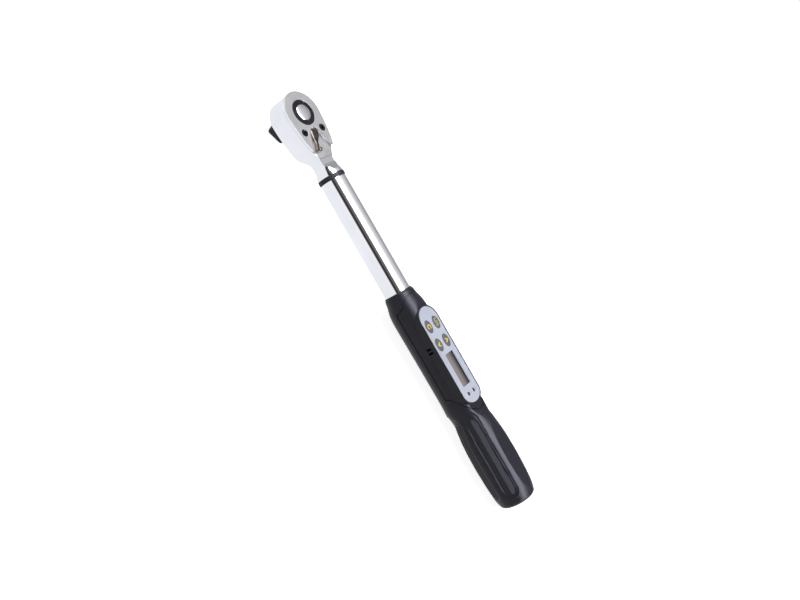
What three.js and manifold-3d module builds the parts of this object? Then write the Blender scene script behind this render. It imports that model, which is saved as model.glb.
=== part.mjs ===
// Digital ratchet torque wrench. Millimetres, +X along the wrench to the handle, +Z out of the panel.
// Every shape is written with z = 0 on the long axis; the last step lifts it all so that the
// end of the square drive is at the origin.
import * as THREE from 'three';
import { mergeVertices } from 'three/addons/utils/BufferGeometryUtils.js';
import Module from 'manifold-3d';

const wasm = await Module();
wasm.setup();

// ---------- driving dimensions ----------
const GAP = 0.3;            // clearance between fitted pieces
const HEAD_R = 21.0;        // ratchet head radius round the drive axis
const HEAD_HALF = 9.7;      // half the head's thickness
const HEAD_END = 43.3;      // where the head's flat floor ends towards the neck
const COVER_T = 2.4;        // head cover plate
const NECK_R = 9.9;         // neck at its narrowest
const COLLAR_X = 59.8;      // front of the collar ring
const COLLAR_W = 4.2;
const TUBE_R = 12.5;
const TUBE_WALL = 1.6;
const TUBE_END = 206;       // tube end inside the handle
const NOSE_X = 180.3;       // front of the handle
const NOSE_R = 14.0;
const BODY_R = 17.3;        // handle round the panel
const WAIST_X = 309;
const WAIST_R = 17.2;
const GRIP_X = 354;
const GRIP_R = 20.3;
const GRIP_RISE = 1.6;      // the grip's axis above the tube's
const SPLIT_END_X = 388.7;  // handle body ends and battery cap begins
const LENGTH_END = 394.4;
const POD_TOP = 16.6;       // top of the rim round the panel
const POD_RIM = 1.5;        // width of that rim
const POD_RISE = 2.3;       // the panel's pod above the flat it stands on
const PANEL_SINK = 0.3;     // overlay's top below the rim
const PANEL_FRONT = 200.3;
const PANEL_REAR = 295.8;
const PANEL_HALF = 12.6;
const DRIVE_SQ = 12.7;      // square drive across flats
const DRIVE_LEN = 15.0;     // square below the head
const DRIVE_TURN = 24.8;    // degrees the square is turned about its axis
const CAP_SQ = 17.0;        // protective cap across flats
const CAP_FLOOR = 2.0;
const CAP_ROOM = 2.3;       // between the drive's end and the cap's floor
const GEAR_R = 15.0;
const TEETH = 36;
const TOOTH_H = 1.2;
const PIVOT_X = 20.1;       // lever and pawl axis
const LEVER_LEN = 18.8;
const LEVER_TURN = -20.3;   // degrees, lever at rest
const PAWL_TILT = 8;        // degrees, pawl at rest
const NOTCH_R = 5.2;
const NOTCH_HALF = 28.3;    // degrees
const BUTTON_R = 7.8;
const BUTTON_TRAVEL = 3.0;
const KEY_L = 12.6;
const KEY_W = 8.3;
const KEY_X = [218.0, 236.3];
const KEY_Y = 6.05;
const KEY_TRAVEL = 0.5;
const CELL_R = 7.1;
const CELL_L = 50.5;
const CAP_PLUG = 9.7;

// ---------- derived ----------
const DECK_Z = HEAD_HALF - COVER_T - GAP;      // housing's top under the cover plate
const DRIVE_END_Z = -HEAD_HALF - DRIVE_LEN;
const CAP_END_Z = DRIVE_END_Z - CAP_ROOM - CAP_FLOOR;
const TUBE_X = COLLAR_X + COLLAR_W;
const TUBE_BORE = TUBE_R - TUBE_WALL;
const SPIGOT_R = TUBE_BORE - GAP;
const SPIGOT_END = TUBE_X + 36.3;
const COLLAR_SEAT_R = TUBE_R - 1.3;
const BEAM_STUB_R = 5.0;
const BEAM_BACK = TUBE_END - 2;
const CAVITY_X = TUBE_END + 2.5;
const CAVITY_END = PANEL_REAR + 4.2;
const CAVITY_R = BODY_R - 2.6;
const CEILING_Z = POD_TOP - 3.0;
const BED_Z = POD_TOP - PANEL_SINK - 1.0;      // floor of the overlay's recess
const CROWN_Z = POD_TOP - POD_RISE;
const BOARD_Z = CEILING_Z - 6.3;
const BOARD_TOP = BOARD_Z + 1.6;
const CELL_BORE = 15.3;
const CELL_ROOM_X = 321.7;
const CELL_X = CELL_ROOM_X + 5.3;
const CELL_END = CELL_X + CELL_L;
const DRIVE_BORE = 2.4;

const rad = (deg) => (deg * Math.PI) / 180;

// ---------- shape helpers ----------
/** A closed solid from a three.js geometry, turned right side out. */
function solid(geometry) {
  geometry.deleteAttribute('normal');
  geometry.deleteAttribute('uv');
  const merged = mergeVertices(geometry, 1e-4);
  const points = merged.attributes.position.array;
  const index = merged.index.array;
  const triangles = [];
  let volume = 0;
  for (let i = 0; i < index.length; i += 3) {
    const [a, b, c] = [index[i], index[i + 1], index[i + 2]];
    if (a === b || b === c || a === c) continue;
    triangles.push(a, b, c);
    const [p, q, r] = [a, b, c].map((k) => new THREE.Vector3().fromArray(points, 3 * k));
    volume += p.dot(q.cross(r));
  }
  if (volume < 0) triangles.reverse();
  return new wasm.Manifold(
    new wasm.Mesh({
      numProp: 3,
      vertProperties: new Float32Array(points),
      triVerts: new Uint32Array(triangles),
    }),
  );
}

/** The same geometry moved by a matrix, as a solid. */
function placed(geometry, matrix) {
  return solid(geometry.applyMatrix4(matrix));
}

const toX = new THREE.Matrix4().makeRotationZ(-Math.PI / 2);
const toZ = new THREE.Matrix4().makeRotationX(Math.PI / 2);

const vectors = (points) => points.map(([a, b]) => new THREE.Vector2(a, b));

/** Turned about X from [x, radius] points; the ends close on the axis. */
function turnX(profile, segments = 36) {
  const closed = [[profile[0][0], 0], ...profile, [profile.at(-1)[0], 0]];
  return placed(new THREE.LatheGeometry(vectors(closed.map(([x, r]) => [r, x])), segments), toX);
}

/** Turned about Z from [radius, z] points; the ends close on the axis. */
function turnZ(profile, segments = 24) {
  const closed = [[0, profile[0][1]], ...profile, [0, profile.at(-1)[1]]];
  return placed(new THREE.LatheGeometry(vectors(closed), segments), toZ);
}

/** A ring about X, its section a loop of [x, radius] points. */
function ringX(loop, segments = 36) {
  const closed = [...loop, loop[0]];
  return placed(new THREE.LatheGeometry(vectors(closed.map(([x, r]) => [r, x])), segments), toX);
}

/** A plan outline raised from z0 to z1. */
function slab(outline, z0, z1) {
  const geometry = new THREE.ExtrudeGeometry(new THREE.Shape(vectors(outline)), {
    depth: z1 - z0,
    bevelEnabled: false,
  });
  return placed(geometry, new THREE.Matrix4().makeTranslation(0, 0, z0));
}

/** An outline in X and Z, drawn out along Y from -half to half. */
function wall(outline, half) {
  const geometry = new THREE.ExtrudeGeometry(new THREE.Shape(vectors(outline)), {
    depth: 2 * half,
    bevelEnabled: false,
  });
  const move = new THREE.Matrix4().makeTranslation(0, half, 0);
  return placed(geometry, move.multiply(toZ));
}

/** A round bar or a spring's wire along a curve. */
function wire(curve, radius, steps, sides = 8) {
  const ring = new THREE.Shape(vectors(circle(0, 0, radius, sides)));
  const options = { steps, extrudePath: curve, bevelEnabled: false };
  return solid(new THREE.ExtrudeGeometry(ring, options));
}

function circle(x, y, r, n = 20) {
  return Array.from({ length: n }, (_, i) => {
    const a = (2 * Math.PI * i) / n;
    return [x + r * Math.cos(a), y + r * Math.sin(a)];
  });
}

function ellipse(x, y, a, b, n = 20) {
  return circle(0, 0, 1, n).map(([u, v]) => [x + a * u, y + b * v]);
}

const rectangle = (x0, x1, y0, y1) => [[x0, y0], [x1, y0], [x1, y1], [x0, y1]];
const box = (x0, x1, y0, y1, z0, z1) => slab(rectangle(x0, x1, y0, y1), z0, z1);
const disc = (x, y, r, z0, z1, n) => slab(circle(x, y, r, n), z0, z1);

/** A square with rounded corners, turned about the origin. */
function roundSquare(side, corner, turn) {
  const half = side / 2 - corner;
  const points = [];
  for (let q = 0; q < 4; q++) {
    for (let k = 0; k <= 3; k++) {
      const a = rad(90 * q + 30 * k);
      const cx = half * (q === 0 || q === 3 ? 1 : -1);
      const cy = half * (q < 2 ? 1 : -1);
      points.push([cx + corner * Math.cos(a), cy + corner * Math.sin(a)]);
    }
  }
  return points.map((p) => turned(p, turn));
}

function turned([x, y], degrees, cx = 0, cy = 0) {
  const [c, s] = [Math.cos(rad(degrees)), Math.sin(rad(degrees))];
  return [cx + c * (x - cx) - s * (y - cy), cy + s * (x - cx) + c * (y - cy)];
}

/** Turned about the lever's axis. */
function swung(shape, degrees) {
  return shape.translate([-PIVOT_X, 0, 0]).rotate([0, 0, degrees]).translate([PIVOT_X, 0, 0]);
}

const join = (...shapes) => shapes.reduce((a, b) => a.add(b));
const cut = (shape, ...tools) => tools.reduce((a, b) => a.subtract(b), shape);

/** Smooth step from 0 at a to 1 at b. */
function ease(x, a, b) {
  const t = Math.min(Math.max((x - a) / (b - a), 0), 1);
  return t * t * (3 - 2 * t);
}

// ---------- nodes ----------
const COLOURS = {
  chrome: [0xd8d8da, 1.0, 0.12],
  plate: [0xb9b8b6, 1.0, 0.35],
  steel: [0x8c8d90, 1.0, 0.35],
  black_steel: [0x232326, 0.9, 0.4],
  black_plastic: [0x2d2d31, 0.0, 0.5],
  rubber: [0x1c1c1e, 0.0, 0.8],
  panel: [0xc6cad8, 0.0, 0.45],
  key: [0x6d6e72, 0.0, 0.6],
  glass: [0x8f8783, 0.0, 0.1],
  board: [0x2c6b45, 0.0, 0.6],
  wire: [0xb03a30, 0.0, 0.6],
  foil: [0xc98b3c, 0.0, 0.5],
  cell: [0x3c6e9e, 0.0, 0.4],
  brass: [0xc2a350, 1.0, 0.3],
  led: [0x3a2a2c, 0.0, 0.2],
};

const root = new THREE.Group();
root.name = 'torque_wrench';

function node(name, shape, colour) {
  const lifted = shape.translate([0, 0, -DRIVE_END_Z]);
  const mesh = lifted.getMesh();
  const geometry = new THREE.BufferGeometry();
  const stride = mesh.numProp;
  const points = [];
  for (let i = 0; i < mesh.vertProperties.length; i += stride) {
    points.push(...mesh.vertProperties.slice(i, i + 3));
  }
  geometry.setAttribute('position', new THREE.Float32BufferAttribute(points, 3));
  geometry.setIndex(Array.from(mesh.triVerts));
  geometry.computeVertexNormals();
  const [color, metalness, roughness] = COLOURS[colour];
  const material = new THREE.MeshStandardMaterial({ color, metalness, roughness });
  material.name = colour;
  const part = new THREE.Mesh(geometry, material);
  part.name = name;
  root.add(part);
}

// ---------- ratchet head ----------
const HEAD_SIDE = [
  [0, HEAD_R], [10.7, 20.1], [17.8, 19.0], [26.7, 17.4], [32.9, 15.2], [37.4, 12.6], [41.3, 7.4],
];

function headOutline() {
  const nose = Array.from({ length: 17 }, (_, i) => {
    const a = rad(90 + (180 * i) / 16);
    return [HEAD_R * Math.cos(a), HEAD_R * Math.sin(a)];
  });
  const below = HEAD_SIDE.map(([x, y]) => [x, -y]);
  const above = [...HEAD_SIDE].reverse();
  const through = vectors([...below, [HEAD_END, 0], ...above]);
  const side = new THREE.SplineCurve(through).getPoints(32).map((p) => [p.x, p.y]);
  return [...nose, ...side.slice(1, -1)];
}

function gearOutline(grow) {
  const points = [];
  for (let i = 0; i < TEETH; i++) {
    const mid = (360 * (i + 0.5)) / TEETH;
    const half = 180 / TEETH;
    const root_r = GEAR_R - TOOTH_H + grow;
    const tip_r = GEAR_R + grow;
    const corners = [[-0.8, root_r], [0, tip_r], [0.8, root_r]];
    for (const [f, r] of corners) {
      const a = rad(mid + f * half);
      points.push([r * Math.cos(a), r * Math.sin(a)]);
    }
  }
  return points;
}

/** The pawl's plan outline about the lever's axis, without teeth. */
function pawlOutline(grow) {
  const w = 8.6 + grow;
  return [
    [9, -w], [16.4 + grow, -w], [22.6 + grow, -5.2 - grow], [25.2 + grow, -2.2],
    [25.2 + grow, 2.2], [22.6 + grow, 5.2 + grow], [16.4 + grow, w], [9, w],
  ];
}

const PAWL_LOW = -5.3;
const PAWL_HIGH = 4.3;
const GEAR_LOW = -6.4;
const GEAR_HIGH = 6.8;
const SHAFT_R = 2.7;
const SCREW_AT = [17.8, 12.4];

const outline = headOutline();
const fairing = [
  [20, -15], [30, -15.4], [36, -13.2], [42, -11.2], [48, -9.9], [52, -9.7],
  [52, 9.7], [48, 9.9], [42, 11.2], [36, 13.2], [30, 15.4], [20, 15],
];
const neck = turnX([
  [28, 9.0], [40, 10.6], [44, 10.1], [48, NECK_R], [52, 10.5], [56, 11.8],
  [COLLAR_X, TUBE_R + 0.05], [COLLAR_X, COLLAR_SEAT_R], [TUBE_X - GAP, COLLAR_SEAT_R],
  [TUBE_X - GAP, SPIGOT_R], [SPIGOT_END - 1, SPIGOT_R], [SPIGOT_END, SPIGOT_R - 1],
]);
const sideView = [
  [-30, -HEAD_HALF], [36, -HEAD_HALF], [42, -9.4], [47, -9.0], [52, -9.9], [56, -11.7],
  [COLLAR_X, -13], [110, -13], [110, 13], [COLLAR_X, 13], [56, 11.5], [52, 9.1],
  [48, 7.4], [45, DECK_Z], [-30, DECK_Z],
];

const cavityFloor = PAWL_LOW - GAP;
const cavityTop = PAWL_HIGH + GAP;
const pawlRoom = slab(pawlOutline(0.6), cavityFloor, cavityTop);
const [screwX, screwY] = SCREW_AT;

const blank = join(
  slab(outline, -HEAD_HALF, DECK_Z),
  slab(fairing, -HEAD_HALF + 0.6, DECK_Z - 0.6),
  neck,
).intersect(wall(sideView, 30));

const headPin = turnZ([[1.5, -9.6], [1.5, 9.6]], 16).translate([TUBE_X + 24, 0, 0]);
const headPinHole = turnZ([[1.8, -12], [1.8, 12]], 16).translate([TUBE_X + 24, 0, 0]);

node('ratchet_head', cut(
  blank,
  turnZ([[GEAR_R + 0.4, GEAR_LOW - GAP], [GEAR_R + 0.4, HEAD_HALF]], 40),
  turnZ([[10.8, -HEAD_HALF - 1], [10.8, 0]], 40),
  pawlRoom,
  swung(pawlRoom, PAWL_TILT),
  swung(pawlRoom, -PAWL_TILT),
  disc(PIVOT_X, 0, SHAFT_R + GAP, -8.0, HEAD_HALF, 20),
  disc(screwX, screwY, 1.9, -1.4, HEAD_HALF, 16),
  disc(screwX, -screwY, 1.9, -1.4, HEAD_HALF, 16),
  turnX([[TUBE_X + 6, BEAM_STUB_R + GAP], [SPIGOT_END + 1, BEAM_STUB_R + GAP]], 24),
  headPinHole,
), 'chrome');
node('head_pin', headPin, 'steel');

// the plate that closes the gear's bore, with the lever's notch
const tangent = [
  PIVOT_X - NOTCH_R * Math.sin(rad(NOTCH_HALF)), NOTCH_R * Math.cos(rad(NOTCH_HALF)),
];
const notchFar = 60;
const notchY = tangent[1] + (notchFar - tangent[0]) * Math.tan(rad(NOTCH_HALF));
const notchArc = Array.from({ length: 13 }, (_, i) => {
  const a = rad(90 + NOTCH_HALF + ((180 - 2 * NOTCH_HALF) * i) / 12);
  return [PIVOT_X + NOTCH_R * Math.cos(a), NOTCH_R * Math.sin(a)];
});
const notch = [...notchArc, [notchFar, -notchY], [notchFar, notchY]];
const plateLow = DECK_Z + GAP;
const collarR = 12.15;

node('head_cover', cut(
  slab(outline, plateLow, HEAD_HALF),
  slab(notch, DECK_Z, HEAD_HALF + 1),
  turnZ([[collarR + GAP, DECK_Z], [collarR + GAP, HEAD_HALF + 1]], 32),
  ...[screwY, -screwY].flatMap((y) => [
    disc(screwX, y, 3.6, plateLow + 0.7, HEAD_HALF + 1, 20),
    disc(screwX, y, 2.0, DECK_Z, HEAD_HALF, 16),
  ]),
), 'plate');

for (const [i, y] of [screwY, -screwY].entries()) {
  const hex = disc(0, 0, 1.7, HEAD_HALF - 1.4, HEAD_HALF + 1, 6);
  const screw = turnZ([[1.6, -1.1], [1.6, plateLow + 1.0], [3.35, plateLow + 1.0],
    [3.35, HEAD_HALF - 0.1]], 16);
  node(`cover_screw_${i + 1}`, cut(screw, hex).translate([screwX, y, 0]), 'black_steel');
}

// ---------- drive ----------
const ballZ = -HEAD_HALF - 8.2;
const BALL_R = 2.2;
const BALL_AT = 4.6;
const BALL_TURN = DRIVE_TURN - 90;
const cupR = BUTTON_R + GAP;
const cupFloor = 4.6;
const springR = 4.7;
const springFloor = -2.0;

function radial(shape) {
  return shape.rotate([0, 0, BALL_TURN]).translate([0, 0, ballZ]);
}

node('drive_gear', cut(
  join(
    slab(gearOutline(0), GEAR_LOW, GEAR_HIGH),
    turnZ([[10.5, -HEAD_HALF - 0.2], [10.5, GEAR_LOW + 1]], 40),
    slab(roundSquare(DRIVE_SQ, 1.2, DRIVE_TURN), DRIVE_END_Z, -HEAD_HALF + 1),
  ),
  turnZ([[cupR, cupFloor], [cupR, HEAD_HALF]], 24),
  turnZ([[springR, springFloor], [springR, HEAD_HALF]], 24),
  turnZ([[DRIVE_BORE, DRIVE_END_Z + 1.1], [DRIVE_BORE, 0]], 20),
  radial(turnX([[0, BALL_R + GAP], [DRIVE_SQ, BALL_R + GAP]], 16)),
), 'chrome');

node('gear_collar', cut(
  turnZ([[collarR - 0.3, GEAR_HIGH + GAP], [collarR, GEAR_HIGH + GAP + 0.3],
    [collarR, HEAD_HALF - 0.4], [collarR - 0.4, HEAD_HALF]], 32),
  turnZ([[cupR, 0], [cupR, HEAD_HALF + 1]], 24),
), 'black_steel');

const stemLow = ballZ - 2.4;
node('release_button', turnZ([
  [1.9, stemLow], [1.9, ballZ + 0.7], [1.1, ballZ + 1.7], [1.1, ballZ + 4.7], [2.1, ballZ + 5.6],
  [2.1, 7.9], [BUTTON_R, 7.9], [BUTTON_R, HEAD_HALF + 0.3], [BUTTON_R - 0.5, HEAD_HALF + 0.9],
  [5.0, HEAD_HALF + 1.55], [2.0, HEAD_HALF + 1.8],
], 24), 'chrome');

class Helix extends THREE.Curve {
  constructor(radius, low, high, turns) {
    super();
    Object.assign(this, { radius, low, high, turns });
  }

  getPoint(t, out = new THREE.Vector3()) {
    const a = 2 * Math.PI * this.turns * t;
    const z = this.low + (this.high - this.low) * t;
    return out.set(this.radius * Math.cos(a), this.radius * Math.sin(a), z);
  }
}

node('release_spring', wire(new Helix(3.5, springFloor + 0.7, 7.2, 4), 0.4, 44, 5), 'steel');

const ballHalf = Array.from({ length: 7 }, (_, i) => {
  const a = rad(-90 + 30 * i);
  return [BALL_R * Math.sin(a), BALL_R * Math.cos(a)];
});
node('detent_ball', radial(turnX(ballHalf.slice(1, -1), 16).translate([BALL_AT, 0, 0])), 'steel');

const capTop = -HEAD_HALF - 0.7;
node('drive_cap', cut(
  join(
    slab(roundSquare(CAP_SQ, 2.2, DRIVE_TURN), CAP_END_Z + 0.8, capTop),
    slab(roundSquare(CAP_SQ - 1.2, 1.8, DRIVE_TURN), CAP_END_Z, CAP_END_Z + 1.2),
  ),
  slab(roundSquare(CAP_SQ - 3.0, 1.5, DRIVE_TURN), CAP_END_Z + CAP_FLOOR, capTop + 1),
), 'rubber');

// ---------- pawl and reversing lever ----------
let pawl = cut(
  slab(pawlOutline(0), PAWL_LOW, PAWL_HIGH),
  disc(PIVOT_X, 0, SHAFT_R + GAP, PAWL_LOW - 1, PAWL_HIGH + 1, 20),
  slab([[PIVOT_X + 1, 0], ...[-54, -27, 0, 27, 54].map((a) => (
    turned([PIVOT_X - 4.9, 0], a, PIVOT_X, 0)))], -1.9, 0.9),
);
const gearSweep = slab(gearOutline(0.18), PAWL_LOW - 1, PAWL_HIGH + 1);
for (const tilt of [-1, -0.75, -0.5, -0.25, 0, 0.25, 0.5, 0.75, 1]) {
  pawl = pawl.subtract(swung(gearSweep, -tilt * PAWL_TILT));
}
node('pawl', swung(pawl, PAWL_TILT), 'steel');

const plungerZ = -0.5;
const onLever = (shape) => shape.translate([PIVOT_X, 0, 0]);
const tipX = LEVER_LEN - 2.4;
const tip = Array.from({ length: 7 }, (_, i) => {
  const a = rad(-75 + 25 * i);
  return [2.4 * Math.cos(a), 2.4 * Math.sin(a)];
});
const leverArm = [
  [0, -3.6], [4.5, -2.7], [9, -1.9], [14, -1.8], [tipX, -2.0],
  [tipX, 2.0], [14, 1.8], [9, 1.9], [4.5, 2.7], [0, 3.6],
];
const leverLow = DECK_Z + GAP;
const lever = cut(
  join(
    turnZ([[4.5, leverLow], [4.5, leverLow + 1.9], [3.6, leverLow + 2.6]], 24),
    slab(leverArm, leverLow, leverLow + 2.1),
    turnZ(tip, 16).translate([tipX, 0, leverLow + 2.5]),
    disc(0, 0, SHAFT_R, -7.7, leverLow + 1, 20),
  ),
  turnX([[-6, 1.25], [1.5, 1.25]], 12).translate([0, 0, plungerZ]),
);
const plunger = turnX([[-4.1, 0.6], [-3.8, 1.0], [1.2, 1.0]], 12).translate([0, 0, plungerZ]);
node('reverse_lever', swung(onLever(lever), LEVER_TURN), 'chrome');
node('pawl_plunger', swung(onLever(plunger), LEVER_TURN), 'brass');

// ---------- collar, tube and torque beam ----------
node('collar_ring', ringX([
  [COLLAR_X + GAP, COLLAR_SEAT_R + GAP], [COLLAR_X + GAP, TUBE_R - 0.1],
  [COLLAR_X + 0.8, TUBE_R + 0.25], [TUBE_X - 0.6, TUBE_R + 0.25], [TUBE_X - 0.2, TUBE_R - 0.1],
  [TUBE_X - 0.2, COLLAR_SEAT_R + GAP],
]), 'rubber');

const tubePinX = TUBE_END - 14;
node('tube', cut(
  ringX([[TUBE_X, TUBE_BORE], [TUBE_X, TUBE_R - 0.3], [TUBE_X + 0.3, TUBE_R],
    [TUBE_END, TUBE_R], [TUBE_END, TUBE_BORE]], 40),
  turnZ([[2.3, -20], [2.3, 20]], 16).translate([tubePinX, 0, 0]),
), 'chrome');
node('tube_pin', turnZ([[2.0, -TUBE_R + 0.3], [2.0, TUBE_R - 0.3]], 16)
  .translate([tubePinX, 0, 0]), 'steel');

const beamFront = SPIGOT_END + GAP;
const plugX = 160;
const beamHalfY = 7.5;
const beamHalfZ = 4.5;
node('torque_beam', cut(
  join(
    turnX([[TUBE_X + 6.5, BEAM_STUB_R], [beamFront + 1, BEAM_STUB_R]], 24),
    turnX([[beamFront, SPIGOT_R], [beamFront + 7, SPIGOT_R]], 32),
    box(beamFront + 4, plugX + 4, -beamHalfY, beamHalfY, -beamHalfZ, beamHalfZ),
    turnX([[plugX, SPIGOT_R], [BEAM_BACK, SPIGOT_R]], 32),
  ),
  box(plugX - 1, BEAM_BACK + 1, -20, 20, 7.0, 20),
  turnZ([[1.8, -12], [1.8, 12]], 16).translate([TUBE_X + 24, 0, 0]),
  turnZ([[2.3, -20], [2.3, 20]], 16).translate([tubePinX, 0, 0]),
), 'steel');

for (const [i, side] of [1, -1].entries()) {
  const [a, b] = [beamHalfY + 0.15, beamHalfY + 0.55].map((y) => y * side);
  node(`gauge_${i + 1}`, box(128, 142, Math.min(a, b), Math.max(a, b), -3, 3), 'foil');
}

const cableR = 0.8;
const cableY = 3.7;
const cableEnd = BOARD_Z - 1.1;
const cablePath = new THREE.CatmullRomCurve3([
  [128, 5.6], [146, 5.6], [153, 7.2], [160, 8.2], [200, 8.2], [208, 7.2], [214, cableEnd],
  [220, cableEnd],
].map(([x, z]) => new THREE.Vector3(x, cableY, z)));
node('gauge_cable', wire(cablePath, cableR, 30, 6), 'wire');

node('tube_seal', ringX([
  [NOSE_X - 1.5, TUBE_R + GAP], [NOSE_X - 1.5, TUBE_R + 0.8], [NOSE_X - GAP, TUBE_R + 0.8],
  [NOSE_X - GAP, TUBE_R + GAP],
]), 'rubber');

// ---------- handle ----------
const HANDLE = [
  [NOSE_X, NOSE_R - 0.5], [NOSE_X + 0.5, NOSE_R], [184, NOSE_R + 0.3], [191, 15.9],
  [198, BODY_R - 0.2], [203, BODY_R], [290, BODY_R], [WAIST_X - 8, WAIST_R + 0.1],
  [WAIST_X, WAIST_R], [315, 18.1], [323, 19.1], [335, 20.0], [GRIP_X - 4, GRIP_R],
  [GRIP_X + 8, 20.1], [372, 19.7], [381, 19.0], [SPLIT_END_X, 17.5],
];

/** How far the handle's axis is above the tube's at x. */
const rise = (x) => GRIP_RISE * ease(x, 290, 308);

/** Turned about the handle's own risen axis. */
function turnHandle(profile, segments = 36) {
  const closed = [[profile[0][0], 0], ...profile, [profile.at(-1)[0], 0]];
  const points = vectors(closed.map(([x, r]) => [r, x]));
  const geometry = new THREE.LatheGeometry(points, segments).applyMatrix4(toX);
  const place = geometry.attributes.position;
  for (let i = 0; i < place.count; i++) {
    place.setZ(i, place.getZ(i) + rise(place.getX(i)));
  }
  return solid(geometry);
}

/** Plan outline of the panel: straight sides, an elliptic end at the front and at the rear. */
function panelOutline(grow, n = 9) {
  const half = PANEL_HALF + grow;
  const [front, rear] = [12 + grow, 9.5 + grow];
  const x0 = PANEL_FRONT - grow + front;
  const x1 = PANEL_REAR + grow - rear;
  const arc = (cx, depth, from) => Array.from({ length: n + 1 }, (_, i) => {
    const a = rad(from + (180 * i) / n);
    return [cx + depth * Math.cos(a), half * Math.sin(a)];
  });
  return [...arc(x1, rear, -90), ...arc(x0, front, 90)];
}

// grip insets: a stadium pressed into each of four sides, by a smaller turned body inside
const INSET_DEPTH = 0.7;
const INSET = [301.0, 385.0, 8.3];
function insetTool(angle) {
  const [x0, x1, half] = INSET;
  const stadium = Array.from({ length: 14 }, (_, i) => {
    const a = rad(-90 + (180 * (i % 7)) / 6 + (i < 7 ? 0 : 180));
    return [(i < 7 ? x1 - half : x0 + half) + half * Math.cos(a), half * Math.sin(a)];
  });
  return slab(stadium, 10, 26).rotate([angle, 0, 0]).translate([0, 0, GRIP_RISE]);
}
const inset = HANDLE.map(([x, r]) => [x, r - INSET_DEPTH]);
const crownCut = [
  [NOSE_X - 5, CROWN_Z], [CAVITY_END - 1, CROWN_Z], [304, 16.2], [310, 18.4], [310, 40],
  [NOSE_X - 5, 40],
];
const FLAT_R = 18.6;
const flats = [1, -1].map((side) => {
  const [near, far] = [GRIP_RISE + side * FLAT_R, GRIP_RISE + side * 30].sort((a, b) => a - b);
  return box(316, SPLIT_END_X + 5, -25, 25, near, far);
});
const handleOuter = join(
  cut(turnHandle(HANDLE), ...[60, -60, 120, -120].map(insetTool), wall(crownCut, 30), ...flats),
  cut(turnHandle(inset), wall(crownCut, 30)),
  slab(panelOutline(POD_RIM), 4, POD_TOP),
);

const bossAt = [[211.4, CEILING_Z - 3.1], [294.6, CEILING_Z + 0.2]];
const BOSS_Y = 9.5;
const bosses = bossAt.flatMap(([x, top]) => [BOSS_Y, -BOSS_Y].map((y) => (
  disc(x, y, 3.2, -15, top, 20))));
const cavity = join(
  turnX([[CAVITY_X, CAVITY_R], [CAVITY_END - 6, CAVITY_R], [CAVITY_END, CAVITY_R - 0.8]], 32),
  cut(slab(panelOutline(-1.8), 6, CEILING_Z), box(150, CAVITY_X, -30, 30, 0, 30)),
);
const risen = (shape) => shape.translate([0, 0, GRIP_RISE]);
const screwHoles = bossAt.flatMap(([x, top]) => [BOSS_Y, -BOSS_Y].flatMap((y) => [
  disc(x, y, 2.8, -20, -10.2, 20),
  disc(x, y, 1.6, -11, top - 3.4, 16),
]));
const tubeBore = TUBE_R + GAP;
const shell = cut(
  join(cut(handleOuter, cavity), ...bosses.map((b) => b.intersect(handleOuter))),
  turnX([[NOSE_X - 5, tubeBore], [TUBE_END + GAP, tubeBore]], 36),
  turnX([[TUBE_END - 1, TUBE_BORE], [CAVITY_X + 1, TUBE_BORE]], 32),
  risen(turnX([[CELL_ROOM_X, CELL_BORE], [SPLIT_END_X + 2, CELL_BORE]], 32)),
  risen(turnX([[CAVITY_END - 3, 2.5], [CELL_ROOM_X + 1, 2.5]], 12)),
  ...screwHoles,
);

// the cover is what lies above the seam, between a sloping front edge and a sloping rear edge
const FRONT_EDGE = [
  [184, CROWN_Z], [184.9, 13.2], [187.6, 11.6], [190.4, 9.1], [193.5, 6.2], [195.8, 0],
];
const REAR_EDGE = [
  [282, 0], [285.5, 6.1], [290.3, 9.2], [294.7, 11.9], [298.7, 14.2], [303.3, 16.4],
];
const SEAM = 0.25;
const coverEdge = (gap) => [
  [184 + gap, 30],
  ...FRONT_EDGE.map(([x, z]) => [x + gap, z + gap]),
  ...REAR_EDGE.map(([x, z]) => [x - gap, z + gap]),
  [303.3 - gap, 30],
];
const coverRegion = wall(coverEdge(SEAM), 40);
const bodyRegion = wall(coverEdge(0), 40);
const keyRooms = KEY_X.flatMap((x) => [KEY_Y, -KEY_Y].map((y) => (
  slab(ellipse(x, y, KEY_L / 2 + GAP, KEY_W / 2 + GAP), 10, 20))));
const WINDOW = [246.5, 279.1, 5.95];
const [winX0, winX1, winHalf] = WINDOW;
const LED_X = 286.7;
const LED_Y = 4.3;
const LED_R = 1.6;
const ledHoles = [LED_Y, -LED_Y].map((y) => disc(LED_X, y, LED_R + GAP, 10, 20, 16));
const SLOTS = [235.5, 239.2];
const slotTools = SLOTS.map((x) => (
  box(x - 0.85, x + 0.85, -2.5, 2.5, 10, 26).rotate([57, 0, 0])));

node('handle_body', shell.subtract(bodyRegion), 'black_plastic');
node('front_cover', cut(
  shell.intersect(coverRegion),
  slab(panelOutline(GAP - 0.05), BED_Z, POD_TOP + 1),
  ...keyRooms,
  box(winX0, winX1, -winHalf, winHalf, 10, 20),
  ...ledHoles,
  ...slotTools,
), 'black_plastic');

const overlayLow = BED_Z + 0.2;
const overlayTop = POD_TOP - PANEL_SINK;
node('panel_overlay', cut(
  slab(panelOutline(0), overlayLow, overlayTop),
  ...keyRooms,
  box(winX0, winX1, -winHalf, winHalf, 10, 20),
  ...ledHoles,
), 'panel');

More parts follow.
